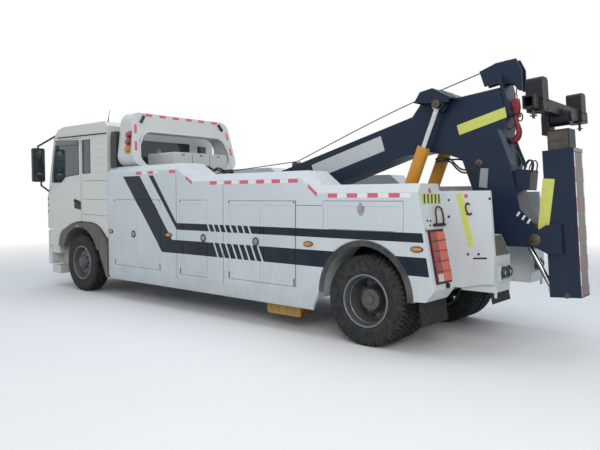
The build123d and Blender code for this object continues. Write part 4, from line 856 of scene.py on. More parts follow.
class FitWheels(bpy.types.Operator):
    """Fit the wheel nuts, hub caps, rim edges and valves"""

    bl_idname = "truck.fit_wheels"
    bl_label = "Wheel fittings"

    def execute(self, context):
        for side, sign in SIDES:
            out = OUT * sign
            for kind, body, x, disc, nut_radius, lip, hub, profile, foot, bolt_radius in WHEELS:
                body = f"{body}_{side}"

                def spot(y, radius=0.0, turn=0.0):
                    around = Vector((math.cos(turn), 0, math.sin(turn)))
                    return Vector((x, sign * y, AXLE_HEIGHT)) + radius * around

                nuts = Shape()
                for turn in turns(WHEEL_NUTS, math.pi / WHEEL_NUTS):
                    nuts.bolt(spot(disc, nut_radius, turn), out, NUT_ACROSS, NUT_TALL)
                    stud = ((NUT_TALL * 0.8, STUD), (NUT_TALL * 1.5, STUD), (NUT_TALL * 1.6, STUD - 0.0015))
                    nuts.turned(stud, spot(disc, nut_radius, turn), out, 10)
                nuts.piece(f"{kind}_wheel_nuts_{side}", "zinc_steel", body)
                # The lip ring and the bead ring below it are light: a painted highlight as well as the worn
                # bare edge.
                ring = Shape().turned(RIM_EDGE, spot(lip), out, 72, loop=True)
                ring.turned(RIM_BEAD, spot(lip - 0.06), out, 72, loop=True)
                ring.piece(f"{kind}_rim_edge_{side}", "rim_edge", body)
                cap = Shape().turned(profile, spot(hub), out, 40)
                for turn in turns(CAP_BOLTS):
                    cap.bolt(spot(hub + foot, bolt_radius, turn), out, 0.017, 0.010)
                cap.piece(f"{kind}_hub_cap_{side}", "wheel_paint", body)
                stem = [spot(disc + y, radius, VALVE_TURN)
                        for y, radius in ((0, 0.245), (0.03, 0.252), (0.055, 0.262))]
                valve = Shape().tube(stem, [0.006, 0.006, 0.0045], 8)
                valve.piece(f"{kind}_wheel_valve_{side}", "zinc_steel", body)
        return {"FINISHED"}


# Tapes on the body

TAPE_TALL = 0.050
TAPE_THICK = 0.0008
RED_TAPES = (
    # Front and rear end of each red tape along a body side
    (4.564, 4.400), (4.223, 4.084), (3.666, 3.506), (3.258, 3.107), (2.702, 2.549), (2.386, 2.240),
    (2.071, 1.907), (1.748, 1.604), (1.464, 1.315), (1.171, 1.008), (0.842, 0.695), (0.524, 0.385),
    (0.240, 0.091), (-0.054, -0.194), (-0.339, -0.480),
)
HEAD_TAPES = (0.73, 0.44, 0.15, -0.145, -0.44, -0.76)
LEG_TAPES = (
    # Side of the truck, upper and lower end of each tape down the headboard's legs
    (-1, 3.005, 2.868), (-1, 2.709, 2.561), (1, 2.994, 2.839), (1, 2.701, 2.540),
)


def side_tape(shape, front, rear):
    """One tape along the upper edge of the left body side."""
    corners = ((front, 0), (rear, 0), (rear, TAPE_TALL), (front, TAPE_TALL))
    shape.plate([at(x, BODY_SIDE, side_top(x) - down) for x, down in corners], TAPE_THICK, OUT)


class LayTapes(bpy.types.Operator):
    """Lay the red and white reflective tapes along the body and on the headboard"""

    bl_idname = "truck.lay_tapes"
    bl_label = "Reflective tapes"

    def execute(self, context):
        red, white = Shape(), Shape()
        ends = [*RED_TAPES, (-0.62, -0.62)]
        for (x0, x1), (x2, x3) in zip(ends, ends[1:]):
            side_tape(red, x0, x1)
            if x1 - x2 > 0.08 and not any(x2 < x < x1 for x, z in TOP_LINE):
                side_tape(white, x1 - 0.004, max(x2, x1 - 0.14) + 0.004)
        red.mirror().piece("red_side_tapes", "tape_red", "chassis")
        white.mirror().piece("white_side_tapes", "tape_white", "chassis")
        head = Shape()
        for y in HEAD_TAPES:
            corners = ((y + 0.07, 3.203), (y - 0.07, 3.203), (y - 0.07, 3.155), (y + 0.07, 3.155))
            head.plate([head_point(a, z) for a, z in corners], 0.001, REARWARDS)
        for sign, high, low in LEG_TAPES:
            corners = [head_point(sign * (portal_half(z) - inset), z)
                       for z, inset in ((high, 0.050), (high, 0.100), (low, 0.100), (low, 0.050))]
            head.plate(corners, 0.001, REARWARDS)
        head.piece("headboard_tapes", "tape_red", "chassis")
        return {"FINISHED"}


# Locker hardware

LEAF_SKIN = 1.2495
LATCH_RING = ((0, 0.058), (0.004, 0.058), (0.006, 0.055), (0.006, 0.042), (0.002, 0.040), (0, 0.042))
LOCK_PLATE = ((0, 1), (0.004, 1), (0.006, 0.93), (0.006, 0.80), (0.003, 0.76), (0.003, 0.0001))
LATCHES = (
    # Start of the leaf's name, and the middle of its latch
    ("front_fore", 4.644, 1.139), ("middle", 2.851, 1.149), ("rear_fore", 1.759, 1.146),
)
LEAF_EDGES = (
    # Leaf, the x of its hinge edge, its foot and its head
    ("front_fore", 5.224, 0.590, 1.713), ("front_aft", 3.903, 0.590, 1.713), ("middle", 3.407, 0.570, 1.708),
    ("rear_fore", 2.307, 0.600, 1.700), ("rear_aft", 1.053, 0.600, 1.700),
)
SIDE_MARKERS = ((5.345, 1.157), (3.682, 1.161), (0.834, 1.160), (-0.700, 1.177))
BODY_SEAMS = (
    # Rear and front end, foot and head of each line of sealer on a body side
    (1.040, 1.048, 0.60, 1.70), (0.62, 1.040, 1.638, 1.644), (3.489, 3.495, 0.50, 2.12),
    (2.414, 2.420, 0.50, 1.93),
)


class FitLockers(bpy.types.Operator):
    """Fit the latches, lock, gaskets and markers of the lockers"""

    bl_idname = "truck.fit_lockers"
    bl_label = "Locker hardware"

    def execute(self, context):
        for side, sign in SIDES:
            out = OUT * sign
            for leaf, x, z in LATCHES:
                body = f"locker_door_{leaf}_{side}"
                middle = at(x, sign * 1.256, z)
                ring = Shape().turned(LATCH_RING, middle, out, 40, loop=True)
                ring.piece(f"latch_ring_{leaf}_{side}", "black_rubber", body)
                face = Shape().turned([(0, 0.040), (0.003, 0.039), (0.0035, 0.0)], middle, out, 32)
                face.turned([(0.003, 0.011), (0.010, 0.010), (0.011, 0.0)], middle, out, 20)
                face.block(middle + Vector((-0.034, 0.002 * sign, -0.009)),
                           middle + Vector((0.034, 0.008 * sign, 0.009)))
                face.piece(f"latch_face_{leaf}_{side}", "zinc_steel", body, bevel=0.001)
            for leaf, x, foot, head in LEAF_EDGES:
                inward = 1 if leaf.endswith("aft") else -1
                pads = Shape()
                for low, high in ((foot + 0.012, foot + 0.100), (head - 0.034, head - 0.012)):
                    pads.block(at(x + inward * 0.006, sign * LEAF_SKIN, low),
                               at(x + inward * 0.026, sign * 1.2575, high))
                body = f"locker_door_{leaf}_{side}"
                pads.piece(f"leaf_hinges_{leaf}_{side}", "black_plastic", body, bevel=0.001)
            x, y = 0.042, sign * LEAF_SKIN
            lock = Shape().oval(at(x, y, 1.611), (0.05 * sign, 0, 0), (0, 0, 0.085), LOCK_PLATE)
            lock.turned([(0.002, 0.012), (0.006, 0.011), (0.0065, 0.0)], at(x, y, 1.575), out, 20)
            lock.block(at(x - 0.020, sign * 1.2515, 1.605), at(x + 0.020, sign * 1.2565, 1.675))
            lock.piece(f"flap_lock_{side}", "zinc_steel", f"wheel_locker_flap_{side}", bevel=0.001)
        rims, lenses, seams = Shape(), Shape(), Shape()
        for x, z in SIDE_MARKERS:
            spot = at(x, BODY_SIDE, z)
            rims.oval(spot, (-0.078, 0, 0), (0, 0, 0.034),
                      ((0, 1), (0.010, 1), (0.013, 0.94), (0.013, 0.0001)))
            lenses.oval(spot, (-0.066, 0, 0), (0, 0, 0.024),
                        ((0.012, 1), (0.020, 0.92), (0.023, 0.7), (0.024, 0.0001)))
        for x0, x1, z0, z1 in BODY_SEAMS:
            seams.block(at(x0, BODY_SIDE - 0.001, z0), at(x1, BODY_SIDE + 0.0006, z1))
        rims.mirror().piece("side_marker_rims", "black_plastic", "chassis")
        lenses.mirror().piece("side_marker_lenses", "amber_lens", "chassis")
        seams.mirror().piece("body_seam_sealer", "black_rubber", "chassis")
        return {"FINISHED"}


# Cab fittings

HANDLE_CUP = ((6.676, 1.732), (6.432, 1.676), (6.425, 1.520), (6.668, 1.548))
DOOR_GRIP = (
    # x, y and z along the grip's middle line
    (6.662, 1.206, 1.690), (6.645, 1.224, 1.684), (6.560, 1.228, 1.664), (6.455, 1.224, 1.640),
    (6.440, 1.206, 1.636),
)
DEFLECTOR = ((7.332, 1.209, 2.855), (6.468, 1.209, 2.819), (6.471, 1.232, 2.726), (7.296, 1.232, 2.756))
DOOR_WINDOW = (
    (6.480, 2.795), (7.345, 2.795), (7.400, 2.600), (7.490, 2.200), (7.505, 2.050), (7.150, 2.045),
    (6.980, 2.150), (6.480, 2.180),
)
BUNK_WINDOW = ((6.070, 2.190), (6.345, 2.190), (6.345, 2.805), (6.070, 2.805))
GUTTER = (
    # Section of the roof gutter: y, and height above its foot
    (1.2035, 0.0), (1.2220, 0.004), (1.2220, 0.018), (1.2035, 0.022),
)
CAB_SEAMS = (
    # Both ends (x, z) of each seam on a cab side
    ((6.390, 2.878), (6.412, 1.150)), ((6.318, 2.055), (5.520, 2.049)), ((6.330, 1.722), (5.520, 1.705)),
    ((6.394, 1.443), (5.520, 1.421)),
)
WIPERS = (
    # y of each wiper's pivot, and how far its arm leans across
    (0.62, -0.42), (-0.10, -0.42), (-0.80, 0.40),
)
GRILLE_ROWS, GRILLE_BARS = 5, 38


def windscreen(y, z, out=0.0):
    """A point on the windscreen's plane."""
    return at(7.420 + (2.880 - z) / 0.930 * 0.230 + out, y, z)


class FitCab(bpy.types.Operator):
    """Fit the gutters, handles, deflectors, mirrors' glass, wipers and grille of the cab"""

    bl_idname = "truck.fit_cab"
    bl_label = "Cab fittings"

    def execute(self, context):
        for side, sign in SIDES:
            body = f"cab_door_{side}"
            cup = Shape().skin([beside(sign * y, HANDLE_CUP) for y in (1.204, 1.2065)])
            cup.piece(f"handle_cup_{side}", "black_plastic", body)
            grip = Shape().tube([at(x, sign * y, z) for x, y, z in DOOR_GRIP], 0.011, 10)
            grip.piece(f"door_grip_{side}", "black_plastic", body)
            shade = Shape().skin([[at(x, sign * (y + thick), z) for x, y, z in DEFLECTOR]
                                  for thick in (0, 0.004)])
            shade.piece(f"rain_deflector_{side}", "smoked_acrylic", body)
            strip = Shape().tube(beside(sign * 1.2055, DOOR_WINDOW), 0.007, 6, closed=True)
            strip.piece(f"window_seal_{side}", "black_rubber", body)
        gutter = Shape().skin([[at(x, y, z + rise) for y, rise in GUTTER]
                               for x, z in ((7.250, 2.892), (7.170, 2.892), (5.510, 2.866))])
        gutter.mirror().piece("roof_gutters", "black_rubber", "cab")
        seams = Shape()
        for (x0, z0), (x1, z1) in CAB_SEAMS:
            lean = Vector((z1 - z0, 0, x0 - x1)).normalized() * 0.003
            start, end = at(x0, 1.205, z0), at(x1, 1.205, z1)
            seams.plate([start - lean, end - lean, end + lean, start + lean], 0.0008, OUT)
        seams.tube(beside(1.206, BUNK_WINDOW), 0.006, 6, closed=True)
        seams.mirror().piece("cab_seams_and_seals", "black_rubber", "cab")
        # The corner air slots are black sheets on the cab's side and front: painted shade where the slots are
        # open.
        slots = Shape()
        for z in (1.725, 1.602, 1.472):
            outline = ((7.674, z + 0.026), (7.712, z + 0.010), (7.712, z - 0.026), (7.674, z - 0.010))
            slots.slab(outline, 1.2045, 1.2065)
            slots.block(at(7.7195, 1.140, z - 0.026), at(7.7215, 1.200, z + 0.010))
        slots.mirror().piece("corner_air_slot_shade", "black_plastic", "cab")
        glass = Shape()
        for low, high in ((2.090, 2.235), (2.285, 2.690)):
            glass.oval(at(7.6405, 1.403, (low + high) / 2), (0, -0.096, 0), (0, 0, (high - low) / 2),
                       ((0, 1.0), (0.004, 0.98), (0.006, 0.7), (0.007, 0.0001)), 40)
        glass.mirror().piece("mirror_glass", "mirror_glass", "cab")
        wipers = Shape()
        for y, reach in WIPERS:
            foot, tip = windscreen(y, 1.965, 0.020), windscreen(y + reach, 2.330, 0.030)
            wipers.tube([windscreen(y, 1.955, -0.006), foot, tip], [0.014, 0.010, 0.006], 8)
            blade = ((-0.20, 2.200, 0.022), (0.0, 2.330, 0.026), (0.20, 2.460, 0.022))
            wipers.tube([windscreen(y + reach + across, z, out) for across, z, out in blade], 0.008, 6)
        wipers.piece("wipers", "black_plastic", "cab")
        rod = beside(1.10, ((5.62, 3.088), (5.62, 3.112), (5.60, 3.200), (5.54, 3.305)))
        mast = Shape().tube(rod, [0.016, 0.010, 0.004, 0.0025], 8)
        mast.piece("aerial", "black_plastic", "cab")
        mesh = Shape()
        for row in range(GRILLE_ROWS):
            z = 1.250 + 0.092 * row
            for bar in range(GRILLE_BARS):
                y = -0.740 + 0.040 * bar
                bend = ((7.692, 0.0, -0.030), (7.700, 0.010, 0.0), (7.692, 0.020, 0.030))
                mesh.tube([at(x, y + across, z + rise) for x, across, rise in bend], 0.003, 5)
        mesh.piece("grille_mesh", "black_plastic", "cab")
        rings = Shape()
        for y in (0.925, 1.060):
            rings.turned(((0, 0.062), (0.004, 0.064), (0.006, 0.058), (0.003, 0.052)), at(7.7225, y, 0.710),
                         (1, 0, 0), 32, loop=True)
        rings.mirror().piece("head_lamp_rings", "zinc_steel", "chassis")
        marker = Shape().oval(at(6.517, 1.236, 1.212), (-0.045, 0, 0), (0, 0, 0.018),
                              ((0, 1), (0.006, 0.95), (0.010, 0.7), (0.011, 0.0001)))
        marker.mirror().piece("fender_markers", "amber_lens", "chassis")
        return {"FINISHED"}


# Headboard fittings

TUBE_BEAM = 2.890
TUBE_BEND = 0.240
TUBE_INSET = 0.150
TUBE_OUT = 0.004


class FitHeadboard(bpy.types.Operator):
    """Fit the tube edge, corner lamps, beacon domes and lifting rings"""

    bl_idname = "truck.fit_headboard"
    bl_label = "Headboard fittings"

    def execute(self, context):
        z = TUBE_BEAM - TUBE_BEND
        y = portal_half(TUBE_BEAM) - TUBE_INSET - TUBE_BEND
        path = [head_point(portal_half(h) - TUBE_INSET, h, TUBE_OUT) for h in (2.300, 2.450, z)]
        for turn in (math.radians(90 * k / 7) for k in range(1, 8)):
            path.append(head_point(y + TUBE_BEND * math.cos(turn), z + TUBE_BEND * math.sin(turn), TUBE_OUT))
        path += [Vector((p.x, -p.y, p.z)) for p in reversed(path)]
        edge = Shape().tube(path, 0.016, 10)
        edge.piece("headboard_tube_edge", "box_white", "chassis")
        lamps = Shape()
        for sign in (1, -1):
            foot, head = head_point(sign * 0.925, 3.038, 0.018), head_point(sign * 0.845, 3.158, 0.018)
            line = [foot.lerp(head, share) for share in (0, 0.06, 0.94, 1)]
            lamps.tube(line, [0.018, 0.026, 0.026, 0.018], 12)
        lamps.piece("headboard_corner_lamps", "black_plastic", "chassis")
        for paint, heights in (("red_lens", (2.804, 2.686)), ("amber_lens", (2.562,))):
            dome = Shape()
            for z in heights:
                dome.turned(((0.053, 0.047), (0.060, 0.044), (0.066, 0.030), (0.068, 0.0)),
                            at(4.905, portal_half(z), z), OUT, 28)
            dome.piece(f"beacon_dome_{paint[:-5]}", paint, "chassis")
        ring = Shape().hoop(at(4.84, 0.586, 2.553), (0, 0.028, 0), (0, 0, 0.028), 0.007)
        ring.turned(((-0.002, 0.022), (0.006, 0.020), (0.008, 0.010)), at(4.84, 0.586, 2.530), UP, 16)
        ring.mirror().piece("box_lifting_rings", "zinc_steel", "chassis")
        seams = Shape()
        for y in (-0.20, 0.20):
            seams.block(at(4.3985, y - 0.004, 2.292), at(4.4004, y + 0.004, 2.515))
        for y in (-0.40, 0.0, 0.40):
            seams.block(at(4.394, y - 0.030, 2.480), at(4.4004, y + 0.030, 2.496))
        seams.piece("box_doors_and_pulls", "black_plastic", "chassis")
        return {"FINISHED"}


# Boom fittings

BOOM_SIDE = 0.170
BOOM_PLATES = (
    # Name, finish, corners (x, z) on the boom's side
    ("boom_side_plate", "plate_white", ((1.682, 2.216), (0.483, 2.558), (0.417, 2.358), (1.613, 2.013))),
    ("boom_head_plate", "plate_yellow", ((-0.614, 2.609), (-1.206, 2.771), (-1.231, 2.653), (-0.649, 2.490))),
    ("arm_grey_plate", "plate_grey", ((-0.922, 2.085), (-1.019, 2.075), (-1.005, 1.847), (-0.904, 1.861))),
)
ARM_FLANGE = ((-1.118, 2.530), (-1.186, 2.504), (-1.349, 2.088), (-1.281, 2.114))
VALVE_LOOP = (
    (-1.409, 2.060), (-1.425, 2.120), (-1.470, 2.170), (-1.505, 2.130), (-1.500, 2.060), (-1.480, 2.000),
)
GUIDE_ROLLER = (
    (-0.060, 0.046), (-0.048, 0.046), (-0.034, 0.034), (0.034, 0.034), (0.048, 0.046), (0.060, 0.046),
)
PIN_CAPS = (
    # x, z, y of the face under the cap, and the cap's radius
    (-0.430, 2.860, 0.364, 0.052), (-0.900, 2.140, BOOM_SIDE, 0.046), (3.600, 1.600, 0.205, 0.060),
)


def curved(values, rounds=3):
    """A row of points or of sizes with its corners cut round."""
    for _ in range(rounds):
        cut = [values[0]]
        for a, b in zip(values, values[1:]):
            cut += [a * 0.75 + b * 0.25, a * 0.25 + b * 0.75]
        values = [*cut, values[-1]]
    return values


def spaced(points, step):
    """Points at even steps along a line."""
    line, left = [points[0]], step
    for a, b in zip(points, points[1:]):
        reach = (b - a).length
        while left <= reach:
            line.append(a.lerp(b, left / reach))
            left += step
        left -= reach
    return line


class DressBoom(bpy.types.Operator):
    """Fit the plates, pipes, hoses, pins and rollers of the boom"""

    bl_idname = "truck.dress_boom"
    bl_label = "Boom fittings"

    def execute(self, context):
        for name, paint, outline in BOOM_PLATES:
            plate = Shape().slab(outline, BOOM_SIDE - 0.0005, BOOM_SIDE + 0.0015)
            plate.mirror().piece(name, paint, "boom_main")
        rivets = Shape()
        for name, paint, outline in BOOM_PLATES:
            corners = beside(BOOM_SIDE + 0.001, outline)
            middle = sum(corners, Vector()) / len(corners)
            for corner in corners:
                rivets.turned(((0, 0.008), (0.003, 0.007), (0.004, 0.0)), corner.lerp(middle, 0.07), OUT, 12)
        rivets.mirror().piece("boom_plate_rivets", "zinc_steel", "boom_main")
        flange = Shape().slab(ARM_FLANGE, BOOM_SIDE - 0.001, BOOM_SIDE + 0.004)
        flange.mirror().piece("arm_flange_strip", "flange_navy", "boom_main", bevel=0.001)
        stripes = Shape()
        for k in range(3):
            x, z = -1.386 - 0.060 * k, 1.579 - 0.040 * k
            outline = ((x, z), (x - 0.020, z - 0.013), (x + 0.012, z - 0.062), (x + 0.032, z - 0.049))
            stripes.slab(outline, BOOM_SIDE - 0.0005, BOOM_SIDE + 0.001)
        stripes.mirror().piece("arm_foot_stripes", "tape_white", "boom_main")
        hoses = Shape()
        for side, drop in ((1, 0.0), (1, 0.034), (-1, 0.0)):
            face = side * (BOOM_SIDE + 0.013)
            run = ((-0.30, side * 0.10, 2.215), (-0.36, face, 2.225), (-0.535, face, 2.222),
                   (-0.61, face, 2.130), (-0.70, face, 2.060), (-0.86, face, 2.075),
                   (-0.90, side * 0.075, 2.150))
            hoses.tube(curved([at(x, y, z - drop) for x, y, z in run]), 0.011, 8)
        hoses.piece("boom_hoses", "black_rubber", "boom_main")
        pipes = Shape()
        for y in (-0.05, 0.05):
            low = at(-1.36, y, 2.055)
            run = [low, low + Vector((-0.02, 0, 0.08)), at(-1.20, y, 2.48), boom_point(4.55, -0.235, y)]
            pipes.tube(curved(run, 2), 0.009, 8)
        for y in (-0.06, 0.06, 0.105):
            pipes.tube(curved(beside(y, VALVE_LOOP), 2), 0.008, 8)
        pipes.piece("valve_pipes", "pipe_paint", "boom_main")
        caps = Shape()
        for x, z, y, radius in PIN_CAPS:
            caps.turned(((-0.002, radius), (0.010, radius), (0.014, radius - 0.006), (0.014, 0.0)),
                        at(x, y, z), OUT)
            caps.bolt(at(x, y + 0.013, z), OUT, 0.026, 0.012)
        caps.mirror().piece("boom_pin_caps", "greased_steel", "boom_main")
        guide = Shape().turned(GUIDE_ROLLER, boom_point(1.60, ROPE_LINE - 0.043), OUT, 28)
        for y in (-0.072, 0.062):
            ends = ((boom_point(1.60, 0.150, y), 0.070), (boom_point(1.60, ROPE_LINE - 0.020, y), 0.032))
            guide.skin([[spot + Vector((across * half, deep, 0)) for across, deep in
                         ((-1, 0), (1, 0), (1, 0.010), (-1, 0.010))] for spot, half in ends])
        guide.piece("rope_guide_roller", "greased_steel", "boom_main")
        return {"FINISHED"}


# Rope and hook

STRANDS = 6
LAY = 6.5
STEPS_IN_A_LAY = 10
WRAPS = 22
STEPS_IN_A_WRAP = 28
COIL_RADIUS = 0.118
COIL_HALF = 0.176
ROPE_LINE = 0.285
OVER_CREST = 0.424
SHEAVE = (-1.175, 3.200)
SHEAVE_GROOVE = 0.110
ROPE_HANGS_TO = (-1.268, 2.930)
HOOK_LINE = (
    # x, z and radius along the hook's middle line
    (-1.262, 2.690, 0.020), (-1.272, 2.620, 0.025), (-1.302, 2.550, 0.030), (-1.314, 2.480, 0.035),
    (-1.292, 2.418, 0.037), (-1.240, 2.392, 0.036), (-1.188, 2.408, 0.030), (-1.158, 2.450, 0.023),
    (-1.150, 2.500, 0.012),
)


def wire(shape, route, diameter):
    """A rope of six strands twisted round a core along a route."""
    line = spaced(route, diameter * LAY / STEPS_IN_A_LAY)
    side, frames = None, []
    for i, spot in enumerate(line):
        along = (line[min(i + 1, len(line) - 1)] - line[max(i - 1, 0)]).normalized()
        side = side or along.orthogonal()
        side = (side - side.dot(along) * along).normalized()
        frames.append((spot, side.copy(), along.cross(side)))
    shape.tube(line, diameter * 0.24, 6)
    for strand in range(STRANDS):
        path = []
        for i, (spot, a, b) in enumerate(frames):
            turn = 2 * math.pi * (i / STEPS_IN_A_LAY + strand / STRANDS)
            path.append(spot + diameter * 0.32 * (math.cos(turn) * a + math.sin(turn) * b))
        shape.tube(path, diameter * 0.18, 5)


class ReeveRope(bpy.types.Operator):
    """Reeve the winch's wire rope over the boom and hang its hook"""

    bl_idname = "truck.reeve_rope"
    bl_label = "Rope and hook"

    def execute(self, context):
        thick = context.scene.truck.rope_diameter
        drum = centre("winch_drum")
        path = []
        for k in range(WRAPS * STEPS_IN_A_WRAP + 1):
            turn = 2 * math.pi * k / STEPS_IN_A_WRAP
            across = COIL_HALF * (2 * k / (WRAPS * STEPS_IN_A_WRAP) - 1)
            path.append(drum + Vector((COIL_RADIUS * math.cos(turn), across, COIL_RADIUS * math.sin(turn))))
        coil = Shape().tube(path, thick / 2, 7)
        coil.piece("rope_on_drum", "wire_rope", "winch_drum")
        lower = Shape()
        leaves, lands = drum + Vector((-0.02, 0, 0.120)), boom_point(1.62, ROPE_LINE)
        wire(lower, [leaves, lands, boom_point(1.66, ROPE_LINE + 0.003)], thick)
        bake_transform(lower.piece("winch_rope_lower", "wire_rope"))
        reach = SHEAVE_GROOVE + thick / 2
        x, z = SHEAVE
        arc = beside(0, [(x + reach * math.cos(t), z + reach * math.sin(t))
                         for t in map(math.radians, range(72, 181, 9))])
        run = curved([lands, boom_point(3.40, OVER_CREST), boom_point(4.30, OVER_CREST + 0.006), arc[0]], 2)
        x, z = ROPE_HANGS_TO
        upper = Shape()
        wire(upper, [*run, *arc[1:], at(x, 0, z - 0.02)], thick * 0.97)
        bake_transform(upper.piece("winch_rope_upper", "wire_rope"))
        cone = ((0, 0.014), (-0.015, 0.018), (-0.070, 0.028), (-0.085, 0.030), (-0.095, 0.024))
        socket = Shape().turned(cone, at(x, 0, z), UP, 20)
        pin = ((-0.022, 0.012), (-0.018, 0.014), (0.022, 0.014), (0.026, 0.012))
        socket.turned(pin, at(x, 0, z - 0.110), OUT, 16)
        socket.piece("rope_socket", "zinc_steel", "boom_inner")
        block = Shape()
        cheek = ((x - 0.030, 2.880), (x + 0.030, 2.880), (x + 0.046, 2.780), (x + 0.040, 2.700),
                 (x - 0.036, 2.700), (x - 0.046, 2.780))
        for y in (-0.040, 0.022):
            block.slab(cheek, y, y + 0.018)
        collar = ((0, 0.030), (-0.010, 0.040), (-0.040, 0.040), (-0.052, 0.026))
        block.turned(collar, at(x + 0.004, 0, 2.740), UP, 24)
        pin = ((-0.048, 0.020), (-0.044, 0.024), (0.044, 0.024), (0.048, 0.020))
        block.turned(pin, at(x, 0, 2.780), OUT, 20)
        sizes = curved([radius for a, b, radius in HOOK_LINE], 2)
        block.tube(curved([at(a, 0, b) for a, b, radius in HOOK_LINE], 2), sizes, 14)
        block.piece("hook_block", "hook_red", "boom_inner", bevel=0.003)
        tongue = beside(0, ((-1.272, 2.585), (-1.225, 2.545), (-1.160, 2.492)))
        latch = Shape().tube(tongue, [0.010, 0.008, 0.006], 8)
        latch.hoop(at(-1.318, 0, 2.665), (0.030, 0, 0), (0, 0.012, 0.045), 0.008, 18)
        latch.piece("hook_latch", "greased_steel", "boom_inner")
        return {"FINISHED"}


# Winch and deck fittings

WINCH_HOSE = ((3.826, 2.285), (3.649, 2.190), (3.548, 2.248), (3.305, 2.140), (3.160, 2.060))


class DressWinch(bpy.types.Operator):
    """Fit the hoses, valves and bolts of the winch and the deck"""

    bl_idname = "truck.dress_winch"
    bl_label = "Winch and deck fittings"

    def execute(self, context):
        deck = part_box("deck")[1].z
        hoses = Shape()
        for y, drop in ((0.350, 0.0), (0.385, 0.030)):
            run = [at(3.985, 0.400, 2.120 - drop), at(3.960, 0.395, 2.200 - drop)]
            run += beside(y, [(x, z - drop) for x, z in WINCH_HOSE])
            run += beside(y, ((3.080, 1.800), (3.070, deck - 0.004)))
            hoses.tube(curved(run), 0.014, 8)
        hoses.piece("winch_hoses", "black_rubber", "chassis")
        valves = Shape()
        for x, z in ((3.826, 2.272), (3.640, 2.196), (3.310, 2.128)):
            valves.tube(beside(0.352, ((x + 0.028, z - 0.006), (x, z), (x - 0.028, z - 0.004))), 0.019, 6)
        for y in (0.26, 0.32, 0.38):
            valves.turned(((0, 0.022), (0.014, 0.022), (0.018, 0.014), (0.030, 0.012)),
                          at(3.07, y, deck), UP, 12)
        for sign in (1, -1):
            for along in (-0.12, -0.04, 0.04, 0.12):
                foot = at(3.985 + along, sign * 0.262, 1.905 + abs(along) * 0.2)
                valves.bolt(foot, OUT * sign, 0.024, 0.013)
        valves.piece("winch_fittings", "zinc_steel", "chassis")
        lashings = Shape()
        for x in (2.90, 1.90, 0.90, -0.20):
            for sign in (1, -1):
                middle = at(x, sign * 0.60, deck)
                lashings.hoop(middle + 0.0345 * UP, (0.045, 0.018, 0), (0, 0, 0.0225), 0.007, sides=6)
                lashings.turned(((-0.002, 0.040), (0.006, 0.038), (0.012, 0.018)), middle, UP, 20)
        lashings.piece("deck_lashing_rings", "rusty_steel", "chassis")
        return {"FINISHED"}


# Underlift fittings

STINGER_BACK = 0.445
STRIPE_TALL = 0.160
STRIPE_TOP, STRIPE_FOOT = 0.930, -0.630
STRIPE_INNER, STRIPE_OUTER = 0.121, 0.150
SIDE_PLATE = ((-1.638, 1.944), (-1.769, 1.936), (-1.710, 1.345), (-1.593, 1.356))


class DressUnderlift(bpy.types.Operator):
    """Fit the stripes, plates, pins and crosshead hardware of the underlift"""

    bl_idname = "truck.dress_underlift"
    bl_label = "Underlift fittings"

    def execute(self, context):
        bands = {"tape_white": Shape(), "tape_red": Shape()}
        for k in range(10):
            high = STRIPE_TOP - STRIPE_TALL * k
            low = max(high - STRIPE_TALL, STRIPE_FOOT)
            corners = ((high, STRIPE_INNER), (high, STRIPE_OUTER), (low, STRIPE_OUTER), (low, STRIPE_INNER))
            if high > low:
                bands[("tape_white", "tape_red")[k % 2]].plate(
                    [stinger_point(up, STINGER_BACK, y) for up, y in corners], 0.0012, REARWARDS)
        for paint, shape in bands.items():
            shape.mirror().piece(f"underlift_{paint}", paint, "stinger")
        corners = ((0.93, 0.112), (0.93, -0.112), (-0.62, -0.112), (-0.62, 0.112))
        channel = Shape().plate([stinger_point(up, STINGER_BACK, y) for up, y in corners], 0.0012, REARWARDS)
        channel.piece("underlift_rear_channel", "greased_steel", "stinger")
        collar = Shape().skin([[stinger_point(up, back, y) for back, y in
                                ((0.442, -0.152), (0.442, 0.152), (0.449, 0.152), (0.449, -0.152))]
                               for up in (0.940, 0.976)])
        for y in (-0.11, 0.0, 0.11):
            collar.bolt(stinger_point(0.958, 0.449, y), REARWARDS, 0.019, 0.010)
        collar.piece("underlift_collar_plate", "zinc_steel", "stinger", bevel=0.001)
        sign_plate = Shape().slab(SIDE_PLATE, 0.1545, 0.1557)
        sign_plate.mirror().piece("underlift_side_plate", "plate_yellow", "stinger")
        x, z = STINGER_HINGE
        pins = Shape()
        pins.turned(((-0.002, 0.066), (0.010, 0.066), (0.014, 0.060), (0.014, 0.0)), at(x, 0.199, z), OUT, 36)
        pins.bolt(at(x, 0.212, z), OUT, 0.030, 0.014)
        pins.turned(((-0.002, 0.030), (0.006, 0.030), (0.008, 0.024), (0.003, 0.020), (0.003, 0.0)),
                    at(-1.919, 0.154, 0.666), OUT, 24)
        pins.mirror().piece("underlift_pins", "greased_steel", "stinger")
        neck = Shape()
        for y in (-0.1155, 0.1135):
            neck.skin([[stinger_point(up, back, y + out) for back, out in
                        ((0.175, 0), (0.385, 0), (0.385, 0.002), (0.175, 0.002))] for up in (0.985, 1.185)])
        neck.piece("underlift_neck_grease", "greased_steel", "stinger_inner")
        hardware = Shape()
        for sign in (1, -1):
            y = sign * 0.770
            stem = [stinger_point(up, 0.260, y) for up in (1.352, 1.262, 1.256)]
            hardware.tube(stem, [0.015, 0.015, 0.009], 12)
            middle = stinger_point(1.285, 0.260, y)
            hardware.hoop(middle, stinger_point(1.285, 0.294, y) - middle, (0, 0.034, 0), 0.004, 16, 6)
            for up in (1.360, 1.450):
                for y in (0.585, 0.715):
                    hardware.bolt(stinger_point(up, 0.350, sign * y), REARWARDS, 0.022, 0.012)
        for y in (-0.144, 0.144):
            hardware.bolt(stinger_point(1.415, 0.320, y), REARWARDS, 0.026, 0.014)
        hardware.piece("crosshead_hardware", "greased_steel", "crosshead")
        return {"FINISHED"}


# Tail fittings

